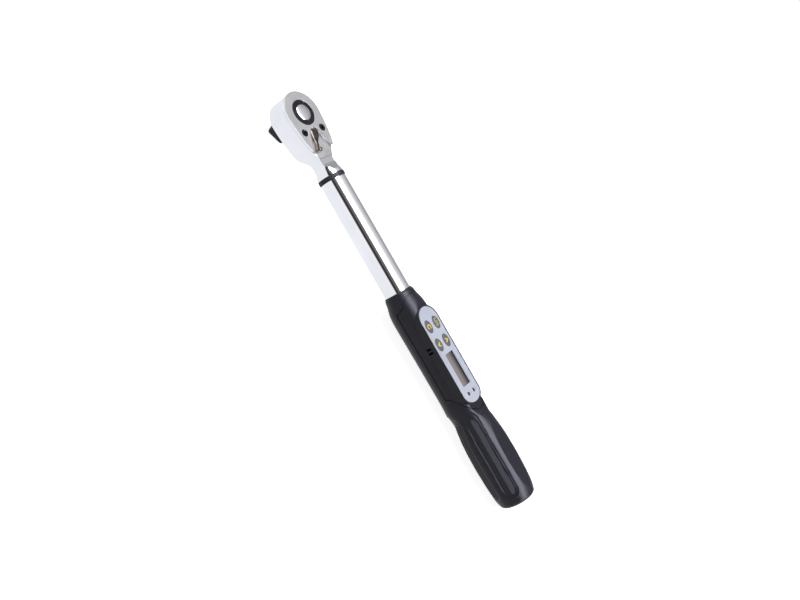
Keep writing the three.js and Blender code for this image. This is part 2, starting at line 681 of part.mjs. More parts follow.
const keyNames = ['key_clear', 'key_units', 'key_down', 'key_up'];
let k = 0;
for (const x of KEY_X) {
  for (const y of [-KEY_Y, KEY_Y]) {
    const key = join(
      slab(ellipse(0, 0, KEY_L / 2 - 0.3, KEY_W / 2 - 0.3), overlayTop, overlayTop + 0.35),
      slab(ellipse(0, 0, KEY_L / 2, KEY_W / 2), CEILING_Z - 1, overlayTop),
      slab(ellipse(0, 0, KEY_L / 2 + 0.4, KEY_W / 2 + 0.4), CEILING_Z - 1, CEILING_Z - GAP),
    );
    node(keyNames[k], key.translate([x, y, 0]), 'key');
    const low = BOARD_TOP + GAP;
    const high = CEILING_Z - 1 - KEY_TRAVEL - 0.1;
    node(`switch_${k + 1}`, join(
      box(-3, 3, -3, 3, low, high - 0.8),
      disc(0, 0, 1.7, low, high, 16),
    ).translate([x, y, 0]), 'black_plastic');
    k++;
  }
}

const plateT = 1.0;
const frame = [winX0 - 2, winX1 + 2, -winHalf - 1.6, winHalf + 1.6];
node('display_window', box(...frame, CEILING_Z - GAP - plateT, CEILING_Z - GAP), 'glass');
node('display_module', box(...frame, BOARD_TOP + GAP, CEILING_Z - 2 * GAP - plateT), 'glass');
for (const [i, y] of [-LED_Y, LED_Y].entries()) {
  node(`led_${i + 1}`, turnZ([
    [LED_R, BOARD_TOP + GAP], [LED_R, overlayTop - 0.7], [1.0, overlayTop - 0.2],
  ], 16).translate([LED_X, y, 0]), 'led');
}
node('circuit_board', box(216, 290.6, -8.6, 8.6, BOARD_Z, BOARD_TOP), 'board');
node('buzzer', disc(239, -2.5, 4.8, BOARD_Z - GAP - 3.5, BOARD_Z - GAP, 20), 'black_plastic');

let s = 0;
for (const [x, top] of bossAt) {
  for (const y of [BOSS_Y, -BOSS_Y]) {
    s++;
    const cross = disc(0, 0, 1.3, -13, -11.4, 6);
    const screw = turnZ([[2.5, -12.2], [2.5, -10.5], [1.3, -10.5], [1.3, top - 3.8]], 16);
    node(`case_screw_${s}`, cut(screw, cross).translate([x, y, 0]), 'steel');
  }
}

// ---------- cells and battery cap ----------
node('contact_board', risen(turnX([
  [CELL_ROOM_X + GAP, CELL_BORE - GAP], [CELL_ROOM_X + 1.9, CELL_BORE - GAP],
], 32)), 'board');
const cellY = CELL_R + 0.3;
for (const [i, y] of [-cellY, cellY].entries()) {
  const at = (shape) => risen(shape.translate([0, y, 0]));
  const flip = i === 0 ? 1 : -1;
  const can = flip > 0
    ? [[CELL_X, 2.7], [CELL_X + 1.2, 2.7], [CELL_X + 1.2, CELL_R], [CELL_END - 0.3, CELL_R],
      [CELL_END, 5.6]]
    : [[CELL_X, 5.6], [CELL_X + 0.3, CELL_R], [CELL_END - 1.2, CELL_R], [CELL_END - 1.2, 2.7],
      [CELL_END, 2.7]];
  node(`cell_${i + 1}`, at(turnX(can, 20)), 'cell');
  const coil = wire(new Helix(2.6, 0.4, 2.9, 3), 0.3, 30, 5).rotate([0, 90, 0]);
  node(`cell_spring_${i + 1}`, at(coil.translate([CELL_ROOM_X + 1.9, 0, 0])), 'brass');
}
const powerPath = new THREE.CatmullRomCurve3([
  [285, 0, BOARD_Z - 1.3], [292, 0, BOARD_Z - 2.4], [300, 0, 2.2], [308, 0, GRIP_RISE],
  [CELL_ROOM_X - 0.1, 0, GRIP_RISE],
].map((p) => new THREE.Vector3(...p)));
node('power_cable', wire(powerPath, 1.0, 14, 6), 'wire');

const capX = SPLIT_END_X + 0.25;
const plugFront = capX - CAP_PLUG;
const plugR = CELL_BORE - GAP;
node('battery_cap', risen(cut(
  turnX([
    [plugFront, plugR], [capX - 3.6, plugR], [capX - 3.6, 13.8], [capX - 1.5, 13.8],
    [capX - 1.5, plugR], [capX, plugR], [capX, 17.4], [capX + 1.5, 16.7], [capX + 3.5, 14.4],
    [capX + 4.7, 11.4], [LENGTH_END, 7.5],
  ]),
  turnX([[plugFront - 1, 12.6], [capX - 4.6, 12.6], [capX - 4.6, 10], [capX + 2, 10]], 32),
  box(LENGTH_END - 1.8, LENGTH_END + 1, -8, 8, -1.1, 1.1),
)), 'black_plastic');
node('cap_contact', risen(turnX([
  [CELL_END + 0.35, 14.4], [CELL_END + 1.15, 14.4],
], 32)), 'brass');
node('cap_seal', risen(ringX([
  [capX - 3.3, 14.05], [capX - 3.3, 14.7], [capX - 2.9, 15.1], [capX - 2.2, 15.1],
  [capX - 1.8, 14.7], [capX - 1.8, 14.05],
], 28)), 'rubber');

export default root;
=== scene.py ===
"""Digital ratchet torque wrench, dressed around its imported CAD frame.

Shapes are written in millimetres with z = 0 on the long axis, as the part's source writes them;
`shape` turns them to metres in the frame. +X runs to the handle, +Z out of the panel.
"""
import math

import bpy
import bmesh
import numpy as np
from mathutils import Matrix, Vector


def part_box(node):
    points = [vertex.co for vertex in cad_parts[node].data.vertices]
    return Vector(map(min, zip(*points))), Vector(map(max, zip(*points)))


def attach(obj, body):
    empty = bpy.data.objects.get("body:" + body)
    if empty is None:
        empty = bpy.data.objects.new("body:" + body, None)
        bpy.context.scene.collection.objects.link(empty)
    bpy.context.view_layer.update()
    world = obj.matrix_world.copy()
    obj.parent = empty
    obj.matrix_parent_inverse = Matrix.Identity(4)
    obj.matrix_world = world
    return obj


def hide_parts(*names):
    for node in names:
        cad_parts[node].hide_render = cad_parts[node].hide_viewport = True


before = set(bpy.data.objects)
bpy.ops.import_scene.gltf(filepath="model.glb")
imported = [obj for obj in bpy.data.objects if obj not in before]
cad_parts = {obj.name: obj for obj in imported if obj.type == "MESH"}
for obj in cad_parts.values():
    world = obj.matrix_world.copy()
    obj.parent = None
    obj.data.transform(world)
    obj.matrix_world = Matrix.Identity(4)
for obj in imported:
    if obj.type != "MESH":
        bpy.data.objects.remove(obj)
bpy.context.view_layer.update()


def span(name):
    """A node's lowest and highest corner in millimetres."""
    low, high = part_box(name)
    return np.array(low) * 1000, np.array(high) * 1000


tube_low, tube_high = span("tube")
AXIS_Z = (tube_low[2] + tube_high[2]) / 2  # the long axis above the drive's end


def heights(name):
    """A node's lowest and highest z, from the long axis."""
    low, high = span(name)
    return low[2] - AXIS_Z, high[2] - AXIS_Z


TUBE_R = (tube_high[2] - tube_low[2]) / 2
TUBE_X = (tube_low[0], tube_high[0])
HEAD_R = -span("ratchet_head")[0][0]
HEAD_HALF = -heights("ratchet_head")[0]
FACE_Z = heights("head_cover")[1]
DECK_Z = FACE_Z - 2.68  # the housing's flat under the cover plate
COLLAR = (span("collar_ring")[0][0] - 0.3, span("collar_ring")[1][0] + 0.2)
NOSE_X = span("handle_body")[0][0]
SPLIT_X = span("handle_body")[1][0]
END_X = span("battery_cap")[1][0]
GRIP_RISE = 1.6  # the grip's axis above the tube's
DRIVE_TURN = math.radians(24.8)
PANEL = (span("panel_overlay")[0][0], span("panel_overlay")[1][0], span("panel_overlay")[1][1])
PANEL_TOP = heights("panel_overlay")[1]
BED_Z = PANEL_TOP - 1.0
POD_TOP = heights("front_cover")[1]
PIVOT_X = 20.1
LEVER_TURN = math.radians(-20.3)


# ---------- curves ----------
def curve(points, x):
    """A monotone cubic through [place, value] points: each point's slope is the harmonic mean of
    the slopes beside it, or nought where they differ in sign, so it never overshoots."""
    px, py = np.array(points, float).T
    step = np.diff(px)
    secant = np.diff(py) / step
    slope = np.zeros_like(py)
    same = secant[1:] * secant[:-1] > 0
    a, b = secant[:-1], secant[1:]
    slope[1:-1] = np.where(same, 2 * a * b / np.where(same, a + b, 1), 0)
    slope[0], slope[-1] = secant[0], secant[-1]
    x = np.clip(x, px[0], px[-1])
    k = np.clip(np.searchsorted(px, x, "right") - 1, 0, len(step) - 1)
    t = (x - px[k]) / step[k]
    return (py[k] * (1 + 2 * t) * (1 - t) ** 2 + slope[k] * step[k] * t * (1 - t) ** 2
            + py[k + 1] * t ** 2 * (3 - 2 * t) - slope[k + 1] * step[k] * t ** 2 * (1 - t))


def ease(x, a, b):
    """A smooth step from 0 at a to 1 at b: 3 t squared less 2 t cubed."""
    t = np.clip((x - a) / (b - a), 0, 1)
    return t * t * (3 - 2 * t)


def soft_min(a, b, power):
    """The lesser of two lengths, rounded where they cross: a power sum with a large power."""
    low, high = np.minimum(a, b), np.maximum(a, b)
    return low * (1 + (low / high) ** power) ** (-1 / power)


# ---------- outlines, n points round from angle 0 ----------
def circle(r, n=96):
    """A circle of radius r."""
    a = np.linspace(0, 2 * np.pi, n, endpoint=False)
    return np.stack([r * np.cos(a), r * np.sin(a)], 1)


def ellipse(a, b, n=96):
    """An ellipse: a circle drawn out to a along X and b along Y."""
    return circle(1, n) * [a, b]


def hexagon(r, n=96):
    """A hexagon with corners at r, met by rays at even angles."""
    a = np.linspace(0, 2 * np.pi, n, endpoint=False)
    reach = r * np.cos(np.pi / 6) / np.cos((a % (np.pi / 3)) - np.pi / 6)
    return np.stack([reach * np.cos(a), reach * np.sin(a)], 1)


def rounded_box(half_x, half_y, corner, n=96):
    """A rectangle with quarter-round corners; each quarter has the same count of points."""
    a = np.linspace(0, np.pi / 2, n // 4)
    quarter = np.stack([np.cos(a), np.sin(a)], 1) * corner
    centres = [(half_x - corner, half_y - corner), (corner - half_x, half_y - corner),
               (corner - half_x, corner - half_y), (half_x - corner, corner - half_y)]
    turns = [(1, 0, 0, 1), (0, -1, 1, 0), (-1, 0, 0, -1), (0, 1, -1, 0)]
    return np.concatenate([quarter @ np.array([[t[0], t[2]], [t[1], t[3]]]) + c
                           for t, c in zip(turns, centres)])


def turned(outline, angle):
    """An outline turned about the origin."""
    c, s = math.cos(angle), math.sin(angle)
    return outline @ np.array([[c, s], [-s, c]])


PANEL_FRONT, PANEL_REAR = 12, 9.5  # how deep the panel's two round ends are


def panel_outline(grow, n=240):
    """The panel in plan: straight sides with a half ellipse at each end, all moved out by grow."""
    x0, x1, half = PANEL
    front, rear, wide = PANEL_FRONT + grow, PANEL_REAR + grow, half + grow
    a = np.linspace(-np.pi / 2, np.pi / 2, n // 2)
    back = np.stack([x1 - PANEL_REAR + rear * np.cos(a), wide * np.sin(a)], 1)
    fore = np.stack([x0 + PANEL_FRONT - front * np.cos(a), -wide * np.sin(a)], 1)
    return np.concatenate([back, fore])


HEAD_SIDE = [[0, 21.0], [10.7, 20.1], [17.8, 19.0], [26.7, 17.4], [32.9, 15.2], [37.4, 13.0],
             [43.3, 11.0]]
FACE_END = 43.3


def face_half(x):
    """Half the width of the head's face at x: the flank's curve, drawn in to an arc at the end."""
    return curve(HEAD_SIDE, x) * np.sqrt(np.clip(1 - ease(x, 33, FACE_END) ** 4, 0, 1))


def face_outline(end, inset=0.0, n=70):
    """The head's face in plan up to x = end: a half circle at the nose, then the two flanks."""
    a = np.linspace(np.pi / 2, 3 * np.pi / 2, n)
    nose = np.stack([np.cos(a), np.sin(a)], 1) * (HEAD_R - inset)
    x = end * np.sin(np.linspace(0, np.pi / 2, n)[1:])
    flank = np.stack([x, inset - face_half(x)], 1)
    flank = flank[np.abs(flank[:, 1]) > 0.3]
    return np.concatenate([flank[::-1] * [1, -1], nose, flank])


# ---------- surfaces to meshes ----------
def placed(name, data):
    """A new object in the scene."""
    made = bpy.data.objects.new(name, data)
    bpy.context.scene.collection.objects.link(made)
    return made


def sheet(points, wrap_rows=False, wrap_columns=False):
    """Corners and four-sided faces of a grid of points, joined round where it wraps."""
    rows, columns = points.shape[:2]
    index = np.arange(rows * columns).reshape(rows, columns)
    if wrap_rows:
        index = np.concatenate([index, index[:1]])
    if wrap_columns:
        index = np.concatenate([index, index[:, :1]], 1)
    faces = np.stack([index[:-1, :-1], index[:-1, 1:], index[1:, 1:], index[1:, :-1]], -1)
    return points.reshape(-1, 3), faces.reshape(-1, 4)


def loft(rings, closed=False):
    """Rings of points joined in turn. The last joins the first if closed; otherwise each end is
    shut by drawing its ring in to its middle."""
    rings = np.array(rings, float)
    if not closed:
        ends = [np.broadcast_to(r.mean(0), r.shape) for r in (rings[0], rings[-1])]
        rings = np.concatenate([ends[0][None], rings, ends[1][None]])
    return sheet(rings, wrap_rows=closed, wrap_columns=True)


def stack(levels):
    """Plan outlines at heights, as rings for a loft."""
    return [np.column_stack([outline, np.broadcast_to(z, len(outline))]) for outline, z in levels]


def spun_x(profile, closed=True, lift=0.0, n=144):
    """[x, radius] points carried round the long axis, raised by lift."""
    x, r = np.array(profile, float).T
    a = np.linspace(0, 2 * np.pi, n, endpoint=False)
    rings = np.stack([np.broadcast_to(x[:, None], (len(x), n)), r[:, None] * np.sin(a),
                      r[:, None] * np.cos(a) + lift], -1)
    return loft(rings, closed)


def spun_z(profile, closed=False, at=(0, 0), n=96):
    """[radius, z] points carried round an upright axis."""
    return loft([np.column_stack([circle(r, n) + at, np.full(n, z)]) for r, z in profile], closed)


def merged(*parts):
    """Several surfaces as one list of corners and one of faces."""
    offset, points, faces = 0, [], []
    for p, f in parts:
        points.append(p)
        faces += (np.asarray(f) + offset).tolist()
        offset += len(p)
    return np.concatenate(points), faces


def shape(name, surface, sharp=32, weld=0.004):
    """A mesh object from a surface: doubles joined, flat slivers dropped, faces turned out,
    smooth but for edges over sharp degrees."""
    points, faces = surface
    mesh = bpy.data.meshes.new(name)
    mesh.from_pydata(((np.asarray(points) + [0, 0, AXIS_Z]) / 1000).tolist(), [],
                     np.asarray(faces).tolist() if isinstance(faces, np.ndarray) else faces)
    tidy_mesh(mesh, sharp, weld)
    return placed(name, mesh)


def tidy_mesh(mesh, sharp, weld=0.004):
    """Joins corners closer than weld millimetres, turns faces out and marks the sharp edges."""
    bm = bmesh.new()
    bm.from_mesh(mesh)
    bmesh.ops.remove_doubles(bm, verts=bm.verts, dist=weld / 1000)
    bmesh.ops.dissolve_degenerate(bm, edges=bm.edges, dist=weld / 2000)
    bmesh.ops.recalc_face_normals(bm, faces=bm.faces)
    bm.to_mesh(mesh)
    bm.free()
    mesh.shade_smooth()
    mesh.set_sharp_from_angle(angle=math.radians(sharp))


def plate(outline, holes, low, high):
    """A flat plate between two heights with holes through it: both faces filled between the
    loops, and a wall at each loop."""
    bm = bmesh.new()
    for loop in [outline, *holes]:
        rings = [[bm.verts.new((x, y, z)) for x, y in loop] for z in (low, high)]
        for i in range(len(loop)):
            j = (i + 1) % len(loop)
            bm.faces.new((rings[0][i], rings[0][j], rings[1][j], rings[1][i]))
    for z in (low, high):
        edges = [e for e in bm.edges if all(abs(v.co.z - z) < 1e-6 for v in e.verts)]
        bmesh.ops.triangle_fill(bm, use_beauty=True, edges=edges)
    bm.verts.index_update()
    points = np.array([v.co for v in bm.verts])
    faces = [[v.index for v in f.verts] for f in bm.faces]
    bm.free()
    return points, faces


THIN_WALL = 0.35  # a thin wall's share of the full one


def finish_with(made, bevel=0, segments=2, thickness=0, angle=40, group=None):
    """Wall thickness inwards, less of it at the corners marked in group, then a small round on the
    edges that turn sharply. An open skin's faces are first turned away from the long axis."""
    if thickness:
        lean = sum(f.area * (f.normal.y * f.center.y + f.normal.z * (f.center.z - AXIS_Z / 1000))
                   for f in made.data.polygons)
        if lean < 0:
            made.data.flip_normals()
        wall = made.modifiers.new("wall", "SOLIDIFY")
        wall.thickness = thickness / 1000
        wall.offset = -1
        wall.use_even_offset = True
        if group is not None:
            made.vertex_groups.new(name="thin")
            made.vertex_groups["thin"].add([int(i) for i in np.nonzero(group)[0]], 1.0, "REPLACE")
            wall.vertex_group = "thin"
            wall.invert_vertex_group = True
            wall.thickness_vertex_group = THIN_WALL
    if bevel:
        edge = made.modifiers.new("edge", "BEVEL")
        edge.width = bevel / 1000
        edge.segments = segments
        edge.limit_method = "ANGLE"
        edge.angle_limit = math.radians(angle)
        edge.harden_normals = True
    return made


def applied(made):
    """The object's modifiers worked into its mesh."""
    bpy.context.view_layer.update()
    graph = bpy.context.evaluated_depsgraph_get()
    mesh = bpy.data.meshes.new_from_object(made.evaluated_get(graph), depsgraph=graph)
    made.modifiers.clear()
    made.data = mesh
    return made


def carved(made, cutters, sharp=32):
    """The piece less its cutters, which are then dropped."""
    for k, cutter in enumerate(cutters):
        tool = shape(f"cutter_{k}", cutter)
        cut = made.modifiers.new(f"cut_{k}", "BOOLEAN")
        cut.object = tool
        cut.operation = "DIFFERENCE"
        cut.solver = "EXACT"
    tools = [m.object for m in made.modifiers if m.type == "BOOLEAN"]
    applied(made)
    for tool in tools:
        bpy.data.objects.remove(tool)
    tidy_mesh(made.data, sharp, 0.002)
    return made


def fit(made, material, body, slot, *nodes):
    """Gives a piece its material and body, and hides the CAD nodes that it stands for; slot is not
    used.
    """
    made.data.materials.clear()
    made.data.materials.append(material)
    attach(made, body)
    if nodes:
        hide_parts(*nodes)
    return made


# ---------- materials ----------
def linear(colour):
    """Linear light of an sRGB hex colour."""
    values = [int(colour[i:i + 2], 16) / 255 for i in (1, 3, 5)]
    return [*(v / 12.92 if v <= 0.04045 else ((v + 0.055) / 1.055) ** 2.4 for v in values), 1.0]


def add(tree, kind, settings=None, inputs=None):
    """Adds a shader node with its settings; an input is a value or another node's output."""
    made = tree.nodes.new("ShaderNode" + kind)
    for key, value in (settings or {}).items():
        setattr(made, key, value)
    for key, value in (inputs or {}).items():
        if isinstance(value, bpy.types.NodeSocket):
            tree.links.new(value, made.inputs[key])
        else:
            made.inputs[key].default_value = value
    return made


def blank(name, **constants):
    """A new material: its tree, its shader with the constants set, and the Object coordinates."""
    material = bpy.data.materials.new(name)
    material.use_nodes = True
    tree = material.node_tree
    shader = tree.nodes["Principled BSDF"]
    for key, value in constants.items():
        shader.inputs[key.replace("_", " ")].default_value = value
    place = add(tree, "TexCoord").outputs["Object"]
    return material, tree, shader, place


def noise(tree, place, size, detail=2.0, stretch=(1, 1, 1)):
    """Noise whose features are about size millimetres across, longer by stretch along an axis."""
    if stretch != (1, 1, 1):
        place = add(tree, "Mapping", None,
                    {"Vector": place, "Scale": [1 / s for s in stretch]}).outputs["Vector"]
    return add(tree, "TexNoise", None,
               {"Vector": place, "Scale": 1000 / size, "Detail": detail}).outputs["Fac"]


def between(tree, fac, low, high):
    """A value eased from low to high as noise goes from 0.3 to 0.7."""
    return add(tree, "MapRange", None, {
        "Value": fac, "From Min": 0.3, "From Max": 0.7, "To Min": low, "To Max": high,
    }).outputs["Result"]


def two_tone(tree, shader, fac, dark, light):
    """Base colour between two hex tones."""
    mix = add(tree, "Mix", {"data_type": "RGBA"},
              {0: fac, 6: linear(dark), 7: linear(light)})
    tree.links.new(mix.outputs[2], shader.inputs["Base Color"])


def relief(tree, shader, height, depth):
    """Bump of depth millimetres from a height between 0 and 1."""
    bump = add(tree, "Bump", None,
               {"Height": height, "Distance": depth / 1000, "Strength": 1.0})
    tree.links.new(bump.outputs["Normal"], shader.inputs["Normal"])


def worked(name, dark, light, mottle, rough, grain, depth, stretch=(1, 1, 1), **constants):
    """A material whose colour drifts between two tones over mottle mm, and whose roughness and
    relief follow a grain in mm."""
    material, tree, shader, place = blank(name, **constants)
    two_tone(tree, shader, between(tree, noise(tree, place, mottle, 3.0), 0, 1), dark, light)
    fine = noise(tree, place, grain, 3.0, stretch)
    tree.links.new(between(tree, fine, *rough), shader.inputs["Roughness"])
    relief(tree, shader, fine, depth)
    return material


# Drop-forged chrome-vanadium steel, polished and bright chrome plated: a cold white mirror with
# a very slight swell left by the polishing wheel.
polished_chrome = worked("polished_chrome", "#E6E7EC", "#EDEDF1", 30, (0.04, 0.07), 9, 0.004,
                         Metallic=1.0)
# The same plate over a drawn and ground tube: finer marks, running along it.
ground_tube_chrome = worked("ground_tube_chrome", "#E6E7EB", "#F1F1F4", 40, (0.035, 0.07), 0.8,
                            0.0008, (30, 1, 1), Metallic=1.0)
# Bead-blasted plate under thin chrome: an even pale grey without a clear reflection.
satin_plate = worked("satin_plate", "#D6D5D4", "#DCDBD9", 18, (0.28, 0.36), 0.35, 0.004,
                     Metallic=1.0)
# Cast lever, tumbled before plating: darker, warmer and softer-edged than the head.
tumbled_nickel = worked("tumbled_nickel", "#4A433D", "#6B635B", 5, (0.16, 0.28), 1.2, 0.02,
                        Metallic=1.0)
# Turned steel: fine tool rings show as a faint grain.
turned_steel = worked("turned_steel", "#8A8B8E", "#9C9DA0", 8, (0.28, 0.42), 0.5, 0.006,
                      Metallic=1.0)
# Oil-blacked steel: near black with a low metal sheen.
blacked_steel = worked("blacked_steel", "#121214", "#19191C", 4, (0.3, 0.42), 0.4, 0.004,
                       Metallic=0.3, Specular_IOR_Level=0.3)
# Glass-filled nylon from a spark-eroded mould: a soft dark grey sheen over a fine even grain.
moulded_nylon = worked("moulded_nylon", "#101016", "#15151C", 22, (0.37, 0.45), 0.42, 0.006,
                       Specular_IOR_Level=0.27)
# Soft thermoplastic: the same dark grey, with a duller sheen.
soft_cap_rubber = worked("soft_cap_rubber", "#17171A", "#1E1E21", 6, (0.5, 0.62), 0.5, 0.008,
                         Specular_IOR_Level=0.3)
sealing_rubber = worked("sealing_rubber", "#101012", "#161618", 3, (0.5, 0.62), 0.4, 0.006,
                        Specular_IOR_Level=0.3)
# Back-printed polycarbonate film with a velvet face: flat cool grey, almost no gloss.
velvet_film = worked("velvet_film", "#BFC4D3", "#C5CAD8", 35, (0.42, 0.52), 0.3, 0.002, IOR=1.58)
# Silicone key caps: mid grey, dry to the eye.
silicone_key = worked("silicone_key", "#5E5F63", "#66676B", 3, (0.55, 0.68), 0.3, 0.004, IOR=1.41)
# Screen ink, thick enough to stand off the key.
yellow_ink = worked("yellow_ink", "#F0D63A", "#F6DE4E", 1.2, (0.5, 0.6), 0.3, 0.003, IOR=1.5)
# Glass-epoxy board under green solder mask.
solder_mask = worked("solder_mask", "#1F5A38", "#2C6B45", 2.5, (0.35, 0.5), 0.8, 0.01, IOR=1.55)
# Polyimide foil with etched tracks: amber, with a crosswise grain.
gauge_foil = worked("gauge_foil", "#B87A30", "#CE9346", 0.9, (0.3, 0.5), 0.3, 0.01, (1, 4, 1),
                    IOR=1.6)
# PVC over flex wire.
wire_jacket = worked("wire_jacket", "#9E2F27", "#B03A30", 2, (0.4, 0.55), 0.6, 0.01, IOR=1.53)
# Shrink film over a steel can.
cell_wrap = worked("cell_wrap", "#35638F", "#41739F", 12, (0.25, 0.35), 4, 0.01, IOR=1.5)
# Pressed brass.
pressed_brass = worked("pressed_brass", "#BF9C49", "#CDAE5C", 4, (0.22, 0.36), 0.7, 0.006,
                       Metallic=1.0)


def liquid_crystal():
    """A reflective liquid crystal, unlit: warm grey with painted shade that darkens it towards the
    near wall, under a polariser with a faint sheen."""
    material, tree, shader, place = blank("liquid_crystal", IOR=1.5)
    across_it = add(tree, "SeparateXYZ", None, {"Vector": place}).outputs["Y"]
    # painted shade: the base colour goes from #8F8682 to #2C2C33 towards +Y, in place of the window
    # wall's shadow
    painted_shade = add(tree, "MapRange", {"interpolation_type": "SMOOTHSTEP"}, {
        "Value": across_it, "From Min": 0.0060, "From Max": -0.0016, "To Min": 0, "To Max": 1})
    mottle = between(tree, noise(tree, place, 14, 2.0), 0.9, 1)
    fac = add(tree, "Math", {"operation": "MULTIPLY"},
              {0: painted_shade.outputs["Result"], 1: mottle}).outputs[0]
    two_tone(tree, shader, fac, "#2C2C33", "#8F8682")
    tree.links.new(between(tree, noise(tree, place, 0.6), 0.3, 0.4), shader.inputs["Roughness"])
    return material


def lamp_lens():
    """A cast epoxy lens, unlit: nearly black with a little red, smooth."""
    material, tree, shader, place = blank("lamp_lens", IOR=1.54, Coat_Weight=0.5)
    two_tone(tree, shader, between(tree, noise(tree, place, 1.5), 0, 1), "#241A1C", "#33262A")
    tree.links.new(between(tree, noise(tree, place, 0.8), 0.12, 0.2), shader.inputs["Roughness"])
    return material


lcd = liquid_crystal()
lens = lamp_lens()

# ---------- ratchet head ----------
NECK_HALF = [[0, 21.0], [10.7, 20.1], [17.8, 19.0], [26.7, 17.4], [32.9, 15.2], [37.4, 12.7],
             [40, 11.0], [42.4, 9.75], [45, 9.05], [48, 8.85], [50, 9.2], [52, 10.1], [54, 11.1],
             [56, 11.9], [57.6, 12.35], [COLLAR[0], TUBE_R + 0.05]]
HEAD_TOP = [[0, DECK_Z], [42.6, DECK_Z], [43.8, 6.3], [45.4, 6.05], [48.5, 6.05], [50, 6.8],
            [52, 8.2], [54, 9.8], [56, 11.4], [57.6, 12.6], [COLLAR[0], 12.7]]
HEAD_LOW = [[0, HEAD_HALF], [36, HEAD_HALF], [42, 9.3], [47, 8.9], [50, 9.3], [53, 10.3],
            [56, 11.7], [COLLAR[0], TUBE_R + 0.05]]
# the flank's power: 2 is a circle, and a large one is a straight wall
SQUARENESS = [[0, 14], [26, 12], [34, 8], [40, 6], [45, 5], [49, 4.4], [52, 2.6], [54, 2.1],
              [60, 2.0]]
EDGE_ROUND = 1.1


def head_section(x):
    """The head across its length at x: flat above and below, its flanks a power curve of the half
    width that goes from a straight wall to a circle, with the lower edge rounded."""
    nose = x < 0
    half = math.sqrt(max(HEAD_R ** 2 - x * x, 0)) if nose else float(curve(NECK_HALF, x))
    top = float(curve(HEAD_TOP, max(x, 0)))
    low = float(curve(HEAD_LOW, max(x, 0)))
    power = float(curve(SQUARENESS, max(x, 0)))
    full = HEAD_R if nose else half
    scale = half / full
    r = EDGE_ROUND
    if nose:
        inner = math.sqrt(max((HEAD_R - r) ** 2 - x * x, 0))
        past = max(-x - (HEAD_R - r), 0)
        low -= r - math.sqrt(max(r * r - past * past, 0)) if past else 0
    else:
        fade = 1 - float(ease(x, 46, 56))
        slope = float(curve(NECK_HALF, x + 0.1) - curve(NECK_HALF, x)) / 0.1
        inner = half - r * math.sqrt(1 + slope * slope) * fade

    def flank(z):
        """Half the width at height z."""
        return scale * full * max(1 - abs(z / full) ** power, 0) ** (1 / power)

    start = top if top < full else full
    end = -(min(low, full) - (half - inner if not nose else r) * 0.98)
    end = min(end, start - 0.1)
    a0, a1 = math.asin(min(start / full, 1)), math.asin(max(end / full, -1))
    side = [(flank(full * math.sin(a)), full * math.sin(a)) for a in np.linspace(a0, a1, 28)]
    corner = np.array([flank(-min(low, full)) if not nose else half, -low])
    p0, p2 = np.array(side[-1]), np.array([min(inner, corner[0]), -low])
    t = np.linspace(0, 1, 7)[1:, None]
    under = p0 * (1 - t) ** 2 + corner * 2 * t * (1 - t) + p2 * t ** 2
    right = np.concatenate([side, under])
    across_top = np.linspace(-1, 1, 15)[1:-1, None] * [right[0][0], 0] + [0, right[0][1]]
    across_low = np.linspace(1, -1, 15)[1:-1, None] * [right[-1][0], 0] + [0, right[-1][1]]
    left = right[::-1] * [-1, 1]
    ring = np.concatenate([right, across_low, left, across_top])
    return np.column_stack([np.full(len(ring), x), ring])


nose_x = -HEAD_R * np.cos(np.linspace(0.02, np.pi / 2, 34))
neck_x = np.concatenate([np.linspace(1, 42, 42), np.linspace(42.7, COLLAR[0] - 0.02, 36)])
head = shape("head_forging", loft([head_section(x) for x in np.concatenate([nose_x, neck_x])]), 30)
bore = spun_z([(15.4, DECK_Z + 1), (15.4, -6.7)], n=120)
boss_bore = spun_z([(10.8, 0), (10.8, -HEAD_HALF - 1)], n=120)
pawl_room = plate(np.array([[9, -10], [17, -10], [23.5, -6.5], [26.5, -3], [26.5, 3], [23.5, 6.5],
                            [17, 10], [9, 10]]), [], -5.6, 4.6)
shaft_bore = spun_z([(3.0, DECK_Z + 1), (3.0, -8.2)], at=(PIVOT_X, 0), n=48)
screw_at = [(17.8, 12.4), (17.8, -12.4)]
screw_bores = [spun_z([(1.9, DECK_Z + 1), (1.9, -1.4)], at=p, n=32) for p in screw_at]
fit(carved(head, [bore, boss_bore, pawl_room, shaft_bore, *screw_bores], 30),
    polished_chrome, "wrench", "chrome", "ratchet_head")

# the deck under the plate, blasted flat and seen through the lever's notch
deck_holes = [circle(12.4), circle(3.1, 48) + [PIVOT_X, 0]]
fit(shape("head_deck", plate(face_outline(FACE_END, 0.35), deck_holes, DECK_Z - 0.1,
                             DECK_Z + 0.27)),
    satin_plate, "wrench", "plate")

# the cover plate: a hole for the ring, two screw seats, and the lever's notch
NOTCH_HALF, NOTCH_R = math.radians(28.3), 5.2
arc = np.linspace(3 * math.pi / 2 - NOTCH_HALF, math.pi / 2 + NOTCH_HALF, 25)
notch = np.stack([PIVOT_X + NOTCH_R * np.cos(arc), NOTCH_R * np.sin(arc)], 1)
along = np.linspace(25, 42, 3401)
gap = face_half(along) - notch[-1][1] - (along - notch[-1][0]) * math.tan(NOTCH_HALF)
cross_x = float(along[np.argmin(np.abs(gap))])
plate_edge = np.concatenate([face_outline(cross_x), notch])
holes = [circle(12.45, 120), *[circle(3.55, 48) + p for p in screw_at]]
cover_plate = shape("head_cover_plate", plate(plate_edge, holes, DECK_Z + 0.3, FACE_Z), 25)
fit(finish_with(cover_plate, bevel=0.18, segments=2, angle=50),
    polished_chrome, "wrench", "chrome", "head_cover")


